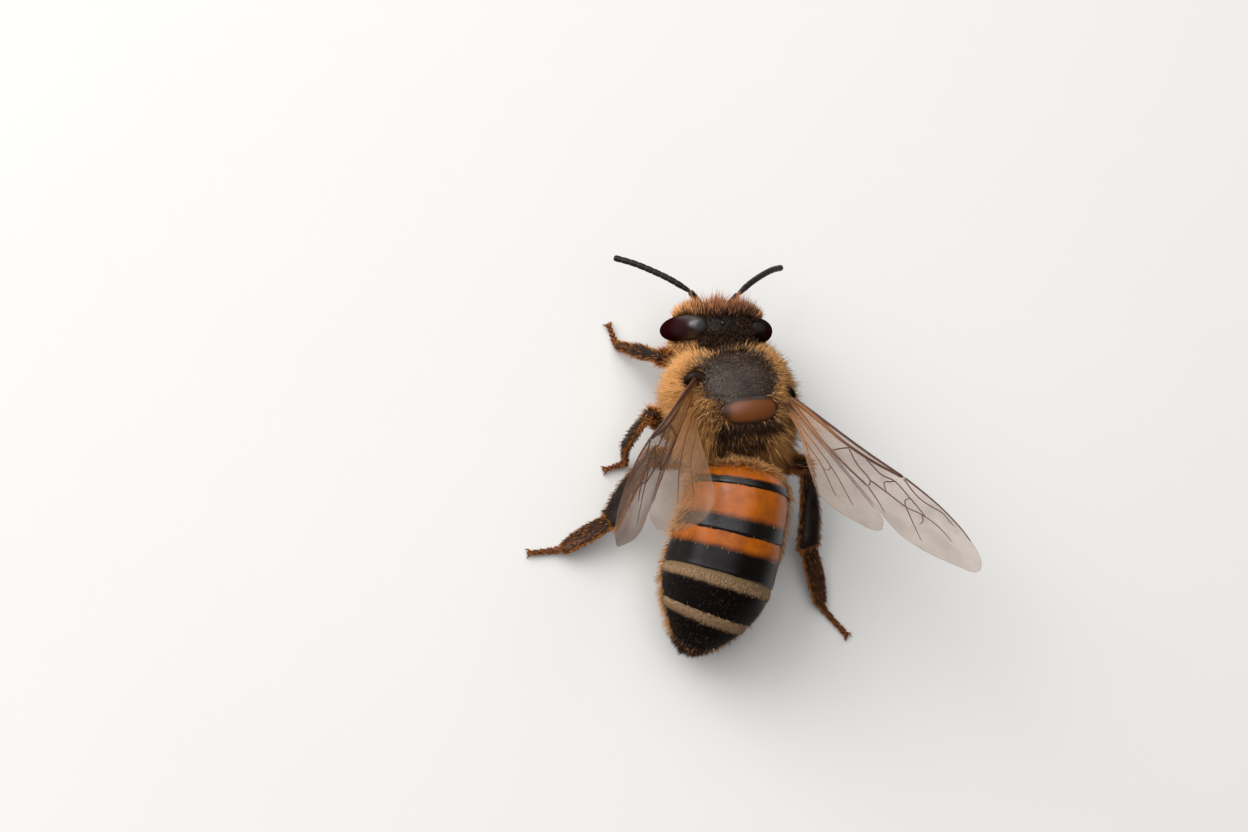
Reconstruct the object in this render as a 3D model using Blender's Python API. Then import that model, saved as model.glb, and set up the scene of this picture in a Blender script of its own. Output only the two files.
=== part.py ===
"""A worker honey bee standing with its wings half raised, life size, in 55 named parts.

The head looks along -Y, the bee's left is +X and the floor is Z = 0. Every size and place
below is in millimetres. The outlines reach to the tips of the coat.
"""

import math

import bmesh
import bpy
from mathutils import Matrix, Vector

MM = 0.001  # metres in a millimetre
GAP = 0.03  # clear space left where two parts meet
LEFT = 1
RIGHT = -1
SIDES = {"left": LEFT, "right": RIGHT}

# Trunk
THORAX_CENTRE = Vector((0.15, 0.22, 3.0))
THORAX_YAW = 8.0  # degrees, the head end towards the bee's left
THORAX_LENGTH = 4.15
THORAX_WIDTH_LOW = 5.05
THORAX_WIDTH_HIGH = 4.1
THORAX_RISE = 1.95  # from the centre to the back
THORAX_DROP = 1.75  # from the centre to the breast
THORAX_ENDS = (2.3, 2.1)  # powers that round off the two ends, higher is blunter
THORAX_SIDES = 0.86  # power that squares the cross section, lower is squarer
THORAX_REAR_TAPER = 0.12  # share by which the rear is narrower
THORAX_REAR_SINK = 0.15  # how far the rear end drops
SCUTELLUM_AT = Vector((0.0, 0.6, 1.6))  # left, rearwards and up from the thorax's centre
SCUTELLUM_RADII = Vector((1.0, 0.5, 0.36))
SCUTELLUM_TILT = -18.0  # degrees, the rear edge down
WAIST_RADIUS = 0.55
TEGULA_RADII = Vector((0.32, 0.42, 0.17))
TEGULA_SHIFT = Vector((0.2, -0.2, 0.3))  # outwards, rearwards and up from the wing's root
TEGULA_TILT = 35.0  # degrees, the outer edge down

# Head
HEAD_CENTRE = Vector((0.62, -2.3, 2.62))
HEAD_HALF_WIDTH = 1.8
HEAD_RISE = 1.75
HEAD_DROP = 1.55
FACE_DEPTH = 1.05
NAPE_DEPTH = 0.72
HEAD_ROUNDING = 2.2  # power that rounds off the crown and the chin
HEAD_SQUARENESS = 2.5  # power that squares the head seen from above
HEAD_WEDGE = (0.14, 0.06)  # how much wider the crown is than the chin, and the waisting of both
EYE_AT = Vector((1.33, 0.02, 0.3))  # outwards, rearwards and up from the head's centre
EYE_RADII = Vector((0.6, 0.53, 1.28))
EYE_LEAN = 10.0  # degrees, the upper end inwards
FEELER_RADIUS = 0.25
FEELERS = {
    # socket, elbow and tip
    "left": ((1.0, -3.1, 2.6), (1.72, -3.46, 3.28), (4.42, -4.74, 2.6)),
    "right": ((0.42, -3.1, 2.6), (0.02, -3.56, 3.28), (-2.1, -4.86, 1.95)),
}
FEELER_BOW = 0.16  # how far the flagellum's middle rises off its chord
JAW_HINGE = Vector((0.62, -0.5, -1.25))
JAW_TIP = Vector((0.2, -0.62, -1.95))
JAW_RADIUS = 0.3
TONGUE_ROOT = Vector((0.0, -0.25, -1.5))
TONGUE_END = Vector((0.0, 0.62, -1.5))
TONGUE_RADIUS = 0.27

# Abdomen: a bent axis from the waist to the tip, cut into six rings
ABDOMEN_AXIS = (
    Vector((-0.22, 2.42, 2.95)),
    Vector((0.28, 6.25, 2.75)),
    Vector((1.38, 8.98, 1.3)),
)
ABDOMEN_RINGS = (0.0, 0.133, 0.343, 0.555, 0.75, 0.908, 1.0)  # where each ring begins
ABDOMEN_GIRTH = (
    # share of the axis, half width
    (0.0, 0.5),
    (0.03, 1.3),
    (0.07, 1.68),
    (0.12, 1.84),
    (0.31, 1.95),
    (0.48, 2.03),
    (0.58, 2.02),
    (0.68, 1.86),
    (0.78, 1.53),
    (0.87, 1.12),
    (0.95, 0.6),
    (1.0, 0.2),
)
ABDOMEN_HEIGHT = 0.95  # of its width, above the axis
ABDOMEN_BELLY = 0.84  # of its width, below the axis
RING_FLARE = 0.035  # how much the rear edge of a ring stands over the next

# Wings: p runs from root to tip and q from the front edge rearwards
WING_THICKNESS = 0.5
WINGS = {
    # root, then degrees of sweep from straight back, rise of the tip, rear edge up, and how far
    # the hind wing is folded up from the fore wing's plane
    "left": (Vector((1.74, -0.42, 3.82)), 42.4, 38.8, -46.8, 65.0),
    "right": (Vector((-1.42, -0.05, 3.8)), 51.0, 12.0, 37.0, 0.0),
}
WING_FOLD = ((0.4, 0.5), (6.0, 2.72))  # the line where the hind wing meets the fore wing
FOREWING = (
    (0.0, -0.12),
    (1.6, -0.14),
    (3.3, -0.33),
    (5.2, -0.44),
    (6.8, -0.38),
    (7.8, -0.14),
    (8.7, 0.35),
    (9.25, 1.0),
    (9.2, 1.5),
    (8.6, 1.9),
    (7.4, 2.36),
    (6.1, 2.62),
    (5.0, 2.2),
    (3.4, 1.45),
    (1.5, 0.65),
    (0.1, 0.2),
)
HINDWING = (
    (0.4, 0.55),
    (1.5, 0.85),
    (3.4, 1.65),
    (5.0, 2.4),
    (5.7, 2.85),
    (5.65, 3.15),
    (5.0, 3.6),
    (4.3, 3.85),
    (3.5, 3.85),
    (2.8, 3.4),
    (1.9, 2.1),
    (1.1, 1.2),
)

# Legs: hip, trochanter, knee, ankle, heel and toe of each, and how its flat side faces
TOE_HEIGHT = 0.17
TOE_RADIUS = 0.28
LEGS = {
    "front_left": (
        ((0.75, -0.95, 1.75), (1.3, -1.45, 1.35), (2.6, -1.3, 2.3)),
        ((3.16, -1.76, 1.0), (3.53, -2.0, 0.42), (3.73, -2.6, TOE_HEIGHT)),
        (0.8, -0.3, 0.5),
    ),
    "front_right": (
        ((-0.2, -0.95, 1.75), (-0.6, -1.5, 1.35), (-1.45, -1.55, 2.2)),
        ((-1.25, -2.35, 0.95), (-1.05, -2.8, 0.42), (-0.85, -3.25, TOE_HEIGHT)),
        (-0.8, -0.3, 0.5),
    ),
    "middle_left": (
        ((0.95, 0.95, 1.5), (1.55, 1.3, 1.3), (3.18, 0.76, 2.9)),
        ((3.52, 1.7, 1.25), (3.25, 2.2, 0.42), (3.85, 2.4, TOE_HEIGHT)),
        (0.9, -0.3, 0.2),
    ),
    "middle_right": (
        ((-0.6, 0.6, 1.5), (-1.2, 0.6, 1.3), (-2.2, -0.2, 2.45)),
        ((-2.35, 0.2, 0.85), (-2.65, 0.85, 0.42), (-3.05, 1.4, TOE_HEIGHT)),
        (-0.9, -0.3, 0.2),
    ),
    "hind_left": (
        ((0.75, 1.75, 1.75), (1.35, 2.15, 1.4), (3.12, 2.32, 2.6)),
        ((3.98, 4.36, 0.78), (5.58, 5.36, 0.42), (6.7, 5.5, TOE_HEIGHT)),
        (0.8, -0.55, -0.1),
    ),
    "hind_right": (
        ((-0.55, 1.65, 1.75), (-1.2, 1.9, 1.4), (-2.84, 2.35, 2.4)),
        ((-3.42, 5.05, 0.92), (-4.1, 7.04, 0.44), (-5.16, 8.1, TOE_HEIGHT)),
        (-0.55, -0.1, 0.8),
    ),
}
LEG_PARTS = ("coxa", "femur", "tibia", "basitarsus")
# Half widths at the near end, the middle and the far end, and the half thickness
SLIM_LEG = {
    "coxa": ((0.4, 0.45, 0.34), 0.38),
    "femur": ((0.28, 0.38, 0.27), 0.3),
    "tibia": ((0.26, 0.32, 0.32), 0.27),
    "basitarsus": ((0.26, 0.3, 0.25), 0.26),
}
HIND_LEG = {
    "coxa": ((0.42, 0.48, 0.34), 0.38),
    "femur": ((0.28, 0.42, 0.28), 0.32),
    "tibia": ((0.26, 0.45, 0.6), 0.27),
    "basitarsus": ((0.42, 0.52, 0.36), 0.26),
}
TARSUS = (0.25, 0.25, TOE_RADIUS)

PAINTS = {
    # base colour and roughness
    "coat": ((0.42, 0.25, 0.09), 0.8),
    "dark coat": ((0.06, 0.04, 0.03), 0.7),
    "shell black": ((0.015, 0.012, 0.01), 0.3),
    "shell amber": ((0.3, 0.12, 0.03), 0.3),
    "shell orange": ((0.55, 0.2, 0.03), 0.35),
    "leg brown": ((0.09, 0.04, 0.015), 0.45),
    "wing film": ((0.75, 0.68, 0.6), 0.25),
}


def start_scene():
    """Empties the scene and gives the collections for the parts and for the cutters."""
    for item in list(bpy.data.objects):
        bpy.data.objects.remove(item)
    collections = []
    for name in ("honey_bee", "cutters"):
        collection = bpy.data.collections.new(name)
        bpy.context.scene.collection.children.link(collection)
        collections.append(collection)
    return collections


PARTS, CUTTERS = start_scene()
STAND = bpy.data.objects.new("stand_point", None)
PARTS.objects.link(STAND)


def paint(name):
    """The material of that name, made the first time it is asked for."""
    found = bpy.data.materials.get(name)
    if found:
        return found
    colour, roughness = PAINTS[name]
    made = bpy.data.materials.new(name)
    made.use_nodes = True
    shader = made.node_tree.nodes["Principled BSDF"]
    shader.inputs["Base Color"].default_value = (*colour, 1.0)
    shader.inputs["Roughness"].default_value = roughness
    shader.inputs["Metallic"].default_value = 0.0
    return made


def add_mesh(name, bm, collection):
    """An object with that mesh, turned from millimetres to metres, its faces pointing out."""
    bm.normal_update()
    bmesh.ops.recalc_face_normals(bm, faces=bm.faces)
    bm.transform(Matrix.Scale(MM, 4))
    mesh = bpy.data.meshes.new(name)
    bm.to_mesh(mesh)
    bm.free()
    mesh.shade_smooth()
    item = bpy.data.objects.new(name, mesh)
    collection.objects.link(item)
    return item


def add_part(name, bm, paint_name):
    """A named part standing with the rest on the stand point."""
    item = add_mesh(name, bm, PARTS)
    item.data.materials.append(paint(paint_name))
    item.parent = STAND
    return item


def cut(item, bm):
    """Takes the space of a mesh out of a part."""
    cutter = add_mesh(f"{item.name} cutter", bm, CUTTERS)
    cutter.parent = STAND
    cutter.hide_render = True
    cutter.display_type = "WIRE"
    hollow = item.modifiers.new("cut", "BOOLEAN")
    hollow.operation = "DIFFERENCE"
    hollow.solver = "EXACT"
    hollow.object = cutter


def ball(segments, rings, place):
    """A sphere's net with each point moved to place(ring, angle), ring 0 and the last the poles."""
    bm = bmesh.new()
    bmesh.ops.create_uvsphere(bm, u_segments=segments, v_segments=rings, radius=1.0)
    for vert in bm.verts:
        height = max(-1.0, min(1.0, vert.co.z))
        ring = round(rings * math.acos(-height) / math.pi)
        vert.co = place(ring, math.atan2(vert.co.y, vert.co.x))
    return bm


def drum(segments, rings, place):
    """A closed tube of rings, each point moved to place(share along it, angle)."""
    bm = bmesh.new()
    bmesh.ops.create_cone(bm, cap_ends=True, segments=segments, radius1=1.0, radius2=1.0, depth=1.0)
    sides = [edge for edge in bm.edges if abs(edge.verts[0].co.z - edge.verts[1].co.z) > 0.5]
    bmesh.ops.subdivide_edges(bm, edges=sides, cuts=rings - 2)
    for vert in bm.verts:
        vert.co = place(vert.co.z + 0.5, math.atan2(vert.co.y, vert.co.x))
    return bm


def ellipsoid(centre, radii, turn, grow=0.0, segments=14, rings=10):
    """A turned ellipsoid, grown outwards by a clear space if it is to cut."""
    def place(ring, angle):
        up = -math.cos(math.pi * ring / rings)
        around = math.sqrt(max(0.0, 1.0 - up * up))
        unit = Vector((around * math.cos(angle), around * math.sin(angle), up))
        sized = Vector([value * (radius + grow) for value, radius in zip(unit, radii)])
        return centre + turn @ sized
    return ball(segments, rings, place)


def between(table, share):
    """Reads a table of (share, value) rows with a smooth curve through its rows."""
    rows = [table[0], *table, table[-1]]
    for before, low, high, after in zip(rows, rows[1:], rows[2:], rows[3:]):
        if share <= high[0]:
            break
    span = high[0] - low[0]
    if span == 0.0:
        return high[1]
    part = (share - low[0]) / span
    rise_low = (high[1] - before[1]) / (high[0] - before[0]) * span
    rise_high = (after[1] - low[1]) / (after[0] - low[0]) * span
    square = part * part
    cube = square * part
    return (
        (2 * cube - 3 * square + 1) * low[1]
        + (cube - 2 * square + part) * rise_low
        + (3 * square - 2 * cube) * high[1]
        + (cube - square) * rise_high
    )


def bent(points, share):
    """The place and the direction at a share of a line bent by its middle point."""
    first, middle, last = points
    rest = 1.0 - share
    place = rest * rest * first + 2 * rest * share * middle + share * share * last
    heading = rest * (middle - first) + share * (last - middle)
    return place, heading.normalized()


def limb(points, widths, thickness, facing, grow=0.0, segments=8, shaft=3, floor=False):
    """A rounded rod along a bent line, wide across facing and thin along it."""
    length = (points[2] - points[0]).length
    rounding = min(0.4, min(widths[0], thickness) / length)
    stations = [(0.0, 0.0), (0.3 * rounding, 0.72)]
    for step in range(shaft):
        stations.append((rounding + (1 - 2 * rounding) * step / (shaft - 1), 1.0))
    stations += [(1 - 0.3 * rounding, 0.72), (1.0, 0.0)]

    def place(ring, angle):
        share, scale = stations[ring]
        centre, heading = bent(points, share)
        centre += heading * grow * (2 * share - 1) * (1.0 if scale < 1.0 else 0.5)
        normal = (facing - facing.dot(heading) * heading).normalized()
        across = heading.cross(normal)
        width = between([(0.0, widths[0]), (0.5, widths[1]), (1.0, widths[2])], share)
        offset = across * math.cos(angle) * (width + grow) * scale
        offset += normal * math.sin(angle) * (thickness + grow) * scale
        point = centre + offset
        if floor:
            point.z = max(point.z, 0.0)
        return point
    return ball(segments, len(stations) - 1, place)


def straight(first, last):
    """A bent line with no bend."""
    return (first, (first + last) / 2, last)


def thorax_mesh(grow=0.0, segments=24, rings=14):
    """The chest: a rounded barrel, wider at the breast than at the back."""
    turn = Matrix.Rotation(math.radians(THORAX_YAW), 3, "Z")
    half_length = THORAX_LENGTH / 2 + grow

    def place(ring, angle):
        along = math.cos(math.pi * ring / rings)
        round_off = (1.0 - abs(along) ** THORAX_ENDS[0]) ** (1 / THORAX_ENDS[1])
        taper = 1.0 - THORAX_REAR_TAPER * max(0.0, along) ** 2
        up = math.sin(angle)
        height = up * (THORAX_RISE if up > 0 else THORAX_DROP)
        widest = THORAX_WIDTH_HIGH if up > 0 else THORAX_WIDTH_LOW
        middle = (THORAX_WIDTH_HIGH + THORAX_WIDTH_LOW) / 2
        half = (middle + (widest - middle) * abs(up)) / 2
        side = math.copysign(abs(math.cos(angle)) ** THORAX_SIDES, math.cos(angle))
        stretch = 1.0 + grow / THORAX_DROP
        offset = Vector((side * half * stretch, 0.0, height * stretch)) * round_off * taper
        offset.y = along * half_length
        offset.z -= THORAX_REAR_SINK * max(0.0, along) ** 2
        return THORAX_CENTRE + turn @ offset
    return ball(segments, rings, place)


def scutellum_mesh(grow=0.0):
    """The bare shield on the rear of the back."""
    turn = Matrix.Rotation(math.radians(THORAX_YAW), 3, "Z")
    tilt = turn @ Matrix.Rotation(math.radians(SCUTELLUM_TILT), 3, "X")
    return ellipsoid(THORAX_CENTRE + turn @ SCUTELLUM_AT, SCUTELLUM_RADII, tilt, grow, rings=8)


def head_mesh(grow=0.0, segments=22, rings=14):
    """The head: a lens seen from above, and a rounded wedge, wide at the top, from in front."""
    def place(ring, angle):
        up = -math.cos(math.pi * ring / rings)
        rise = HEAD_RISE if up > 0 else HEAD_DROP
        round_off = (1.0 - abs(up) ** HEAD_ROUNDING) ** (1 / HEAD_ROUNDING)
        wedge = 1.0 + HEAD_WEDGE[0] * up - HEAD_WEDGE[1] * up * up
        side = math.cos(angle)
        back = math.sin(angle)
        power = HEAD_SQUARENESS
        squared = (abs(side) ** power + abs(back) ** power) ** (-1 / power)
        depth = NAPE_DEPTH if back > 0 else FACE_DEPTH
        return HEAD_CENTRE + Vector((
            side * squared * round_off * wedge * (HEAD_HALF_WIDTH + grow),
            back * squared * round_off ** 0.8 * (depth + grow),
            up * (rise + grow),
        ))
    return ball(segments, rings, place)


def eye_mesh(side, grow=0.0):
    """A compound eye, a long oval on the side of the head."""
    centre = HEAD_CENTRE + Vector((side * EYE_AT.x, EYE_AT.y, EYE_AT.z))
    turn = Matrix.Rotation(math.radians(-side * EYE_LEAN), 3, "Y")
    return ellipsoid(centre, EYE_RADII, turn, grow)


def tegula_mesh(side, root, grow=0.0):
    """The small scale over a wing's root."""
    shift = Vector((side * TEGULA_SHIFT.x, TEGULA_SHIFT.y, TEGULA_SHIFT.z))
    tilt = Matrix.Rotation(math.radians(side * TEGULA_TILT), 3, "Y")
    return ellipsoid(root + shift, TEGULA_RADII, tilt, grow, segments=12, rings=8)


def make_trunk():
    """The thorax with its bare shield and scales let into it, and the waist behind it.

    The coat of its front edge is hollowed a little behind the eyes.
    """
    thorax = add_part("thorax", thorax_mesh(), "coat")
    cut(thorax, scutellum_mesh(GAP))
    for name, side in SIDES.items():
        root = WINGS[name][0]
        add_part(f"tegula_{name}", tegula_mesh(side, root), "shell black")
        cut(thorax, tegula_mesh(side, root, GAP))
        cut(thorax, eye_mesh(side, GAP))
    add_part("scutellum", scutellum_mesh(), "shell amber")
    rear = THORAX_CENTRE + Vector((-0.2, THORAX_LENGTH / 2 - 0.35, -0.05))
    front = ABDOMEN_AXIS[0] - Vector((0.0, GAP, 0.0))
    waist = drum(12, 3, lambda share, angle: rear.lerp(front, share) + Vector(
        (WAIST_RADIUS * math.cos(angle), 0.0, WAIST_RADIUS * math.sin(angle))))
    cut(add_part("waist", waist, "shell black"), thorax_mesh(GAP))


def make_head():
    """The head, its eyes, jaws and folded tongue."""
    head = add_part("head", head_mesh(), "coat")
    cut(head, thorax_mesh(GAP))
    forward = Vector((0.0, -1.0, 0.0))
    up = Vector((0.0, 0.0, 1.0))
    for name, side in SIDES.items():
        add_part(f"eye_{name}", eye_mesh(side), "shell black")
        cut(head, eye_mesh(side, GAP))
        mirror = Vector((side, 1.0, 1.0))
        hinge = HEAD_CENTRE + JAW_HINGE * mirror
        tip = HEAD_CENTRE + JAW_TIP * mirror
        widths = (JAW_RADIUS, JAW_RADIUS, 0.6 * JAW_RADIUS)
        jaw = limb(straight(hinge, tip), widths, 0.6 * JAW_RADIUS, forward)
        cut(add_part(f"mandible_{name}", jaw, "shell amber"), head_mesh(GAP))
    root = HEAD_CENTRE + TONGUE_ROOT
    end = HEAD_CENTRE + TONGUE_END
    widths = (TONGUE_RADIUS, TONGUE_RADIUS, 0.7 * TONGUE_RADIUS)
    tongue = limb(straight(root, end), widths, TONGUE_RADIUS, up)
    tongue = add_part("proboscis", tongue, "leg brown")
    cut(tongue, head_mesh(GAP))
    cut(tongue, thorax_mesh(GAP))


def make_feelers():
    """Each antenna: the scape out of the face, and the flagellum from its elbow."""
    up = Vector((0.0, 0.0, 1.0))
    for name, points in FEELERS.items():
        socket, elbow, tip = [Vector(point) for point in points]
        widths = (FEELER_RADIUS, FEELER_RADIUS, FEELER_RADIUS)
        shape = (widths, FEELER_RADIUS, up)
        scape = limb(straight(socket, elbow), *shape, shaft=3)
        cut(add_part(f"scape_{name}", scape, "shell black"), head_mesh(GAP))
        middle = (elbow + tip) / 2 + up * 2 * FEELER_BOW
        flagellum = limb((elbow, middle, tip), *shape, shaft=6)
        joint = limb(straight(socket, elbow), *shape, GAP, shaft=3)
        cut(add_part(f"flagellum_{name}", flagellum, "shell black"), joint)


def abdomen_point(share, angle, flare=0.0):
    """A point of the abdomen's surface at a share of its axis and an angle round it."""
    centre, heading = bent(ABDOMEN_AXIS, share)
    side = heading.cross(Vector((0.0, 0.0, 1.0))).normalized()
    up = side.cross(heading)
    radius = between(ABDOMEN_GIRTH, share) * (1.0 + flare)
    height = ABDOMEN_HEIGHT if math.sin(angle) > 0 else ABDOMEN_BELLY
    return centre + radius * (side * math.cos(angle) + up * math.sin(angle) * height)


def make_abdomen():
    """Six rings, each standing a little over the next, with a thin cut between them."""
    length = (ABDOMEN_AXIS[2] - ABDOMEN_AXIS[0]).length
    thin_cut = GAP / length
    for index, (begin, end) in enumerate(zip(ABDOMEN_RINGS, ABDOMEN_RINGS[1:]), start=1):
        last = index == len(ABDOMEN_RINGS) - 1

        def place(share, angle):
            along = begin + (end - begin) * share
            if share == 1.0 and not last:
                along -= thin_cut
            return abdomen_point(along, angle, RING_FLARE * (share - 0.5))
        rings = 6 if index == 1 or last else 4
        body = drum(24, rings, place)
        ring = add_part(f"abdomen_{index}", body, "shell orange" if index < 4 else "shell black")
        if index == 1:
            cut(ring, thorax_mesh(GAP))


def wing_frames(name):
    """The matrices that carry p, q and thickness of the fore and hind wing to their place."""
    root, *turns = WINGS[name]
    side = SIDES[name]
    sweep, rise, turn_up, fold = [math.radians(value) for value in turns]
    level = math.cos(rise)
    along = Vector((side * math.sin(sweep) * level, math.cos(sweep) * level, math.sin(rise)))
    inward = Vector((-side * math.cos(sweep), math.sin(sweep), 0.0))
    upward = along.cross(inward) * side
    rear = inward * math.cos(turn_up) + upward * math.sin(turn_up)
    frame = Matrix((along, rear, along.cross(rear))).transposed().to_4x4()
    frame.translation = root
    first, last = [Vector((*point, 0.0)) for point in WING_FOLD]
    hinge = Matrix.Translation(first) @ Matrix.Rotation(side * fold, 4, last - first)
    return frame, frame @ hinge @ Matrix.Translation(-first)


def wing_mesh(outline, frame, grow=0.0):
    """A flat plate of the wing's outline, drawn as a closed smooth curve and filled."""
    curve = bpy.data.curves.new("wing outline", "CURVE")
    curve.dimensions = "2D"
    curve.fill_mode = "BOTH"
    curve.extrude = WING_THICKNESS / 2 + grow
    curve.offset = grow
    curve.resolution_u = 3
    line = curve.splines.new("BEZIER")
    line.use_cyclic_u = True
    line.bezier_points.add(len(outline) - 1)
    for point, place in zip(line.bezier_points, outline):
        point.co = (*place, 0.0)
        point.handle_left_type = "AUTO"
        point.handle_right_type = "AUTO"
    drawing = bpy.data.objects.new("wing outline", curve)
    CUTTERS.objects.link(drawing)
    plate = bpy.data.meshes.new_from_object(drawing.evaluated_get(
        bpy.context.evaluated_depsgraph_get()))
    bpy.data.objects.remove(drawing)
    bm = bmesh.new()
    bm.from_mesh(plate)
    bmesh.ops.remove_doubles(bm, verts=bm.verts, dist=0.001)
    bm.transform(frame)
    return bm


def make_wings():
    """Both pairs of wings, cut to fit the thorax and the scales over their roots."""
    for name, side in SIDES.items():
        fore_frame, hind_frame = wing_frames(name)
        fore = add_part(f"forewing_{name}", wing_mesh(FOREWING, fore_frame), "wing film")
        hind = add_part(f"hindwing_{name}", wing_mesh(HINDWING, hind_frame), "wing film")
        cut(hind, wing_mesh(FOREWING, fore_frame, GAP))
        for plate in (fore, hind):
            cut(plate, thorax_mesh(GAP))
            cut(plate, tegula_mesh(side, fore_frame.translation, GAP))


def make_leg(name, upper, lower, facing):
    """One leg from hip to toe, each piece socketed on the one before it."""
    sizes = HIND_LEG if name.startswith("hind") else SLIM_LEG
    joints = [Vector(point) for point in (*upper, *lower)]
    facing = Vector(facing)
    before = thorax_mesh(GAP)
    for kind, first, last in zip((*LEG_PARTS, "tarsus"), joints, joints[1:]):
        widths, thickness = sizes.get(kind, (TARSUS, TOE_RADIUS))
        rod = (straight(first, last), widths, thickness, facing)
        on_floor = kind == "tarsus"
        if on_floor:
            sole = (first + last) / 2
            sole.z = TOE_HEIGHT
            rod = ((first, sole, last), widths, thickness, Vector((0.0, 0.0, 1.0)))
        piece = add_part(f"{kind}_{name}", limb(*rod, floor=on_floor), "leg brown")
        cut(piece, before)
        if kind == "femur":
            cut(piece, thorax_mesh(GAP))
        before = limb(*rod, grow=GAP)
    before.free()


def stand_on_centre():
    """Moves the bee so that the origin is below the middle of its outline, on the floor."""
    bpy.context.view_layer.update()
    graph = bpy.context.evaluated_depsgraph_get()
    corners = []
    for item in PARTS.objects:
        if item.type == "MESH":
            solid = item.evaluated_get(graph)
            corners += [item.matrix_world @ Vector(corner) for corner in solid.bound_box]
    low = [min(corner[axis] for corner in corners) for axis in range(3)]
    high = [max(corner[axis] for corner in corners) for axis in range(3)]
    STAND.location = (-(low[0] + high[0]) / 2, -(low[1] + high[1]) / 2, -low[2])


make_trunk()
make_head()
make_feelers()
make_abdomen()
make_wings()
for leg_name, (leg_upper, leg_lower, leg_facing) in LEGS.items():
    make_leg(leg_name, leg_upper, leg_lower, leg_facing)
stand_on_centre()
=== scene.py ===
from math import acos, atan2, copysign, cos, exp, hypot, pi, radians, sin, sqrt
import bmesh
import bpy
import numpy as np
from mathutils import Matrix, Vector


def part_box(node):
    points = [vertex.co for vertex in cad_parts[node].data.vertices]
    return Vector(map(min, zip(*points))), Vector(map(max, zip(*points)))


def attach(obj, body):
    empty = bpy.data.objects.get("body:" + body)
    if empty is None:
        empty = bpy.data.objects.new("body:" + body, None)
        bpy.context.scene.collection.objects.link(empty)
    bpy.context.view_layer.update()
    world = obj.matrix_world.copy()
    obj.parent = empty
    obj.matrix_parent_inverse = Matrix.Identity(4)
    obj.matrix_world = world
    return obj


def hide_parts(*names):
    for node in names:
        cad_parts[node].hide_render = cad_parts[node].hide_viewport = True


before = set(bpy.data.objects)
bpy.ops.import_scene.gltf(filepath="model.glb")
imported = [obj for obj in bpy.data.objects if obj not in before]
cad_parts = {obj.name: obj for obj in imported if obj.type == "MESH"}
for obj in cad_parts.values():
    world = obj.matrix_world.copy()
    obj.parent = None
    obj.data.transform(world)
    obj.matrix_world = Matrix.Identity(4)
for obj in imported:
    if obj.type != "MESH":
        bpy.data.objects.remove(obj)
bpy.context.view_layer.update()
print("frame loaded:", len(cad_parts), "solids")

# Sizes and places are millimetres from the point that the solids are laid out from.
# -Y is forward, +X the bee's left and Z up.
mm = 0.001
sides = {"left": 1, "right": -1}
upright = Vector((0.0, 0.0, 1.0))
stance = {"headAt": Vector((0.62, -2.3, 2.62)), "eyeAt": Vector((1.33, 0.02, 0.3))}


def boxCentre(node):
    low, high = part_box(node)
    return (low + high) / 2


standAt = boxCentre("eye_left") - (stance["headAt"] + stance["eyeAt"]) * mm
toFrame = Matrix.Translation(standAt) @ Matrix.Scale(mm, 4)


def fromFrame(point):
    return (point - standAt) / mm


class Wire:
    # one output of a shader node, which does sums with + - *
    def __init__(self, finish, socket):
        self.finish = finish
        self.socket = socket

    def sum(self, operation, first, second):
        return self.finish.node("ShaderNodeMath", {"operation": operation}, {0: first, 1: second})

    def __add__(self, other):
        return self.sum("ADD", self, other)

    def __sub__(self, other):
        return self.sum("SUBTRACT", self, other)

    def __rsub__(self, other):
        return self.sum("SUBTRACT", other, self)

    def __mul__(self, other):
        return self.sum("MULTIPLY", self, other)

    __radd__ = __add__
    __rmul__ = __mul__


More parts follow.
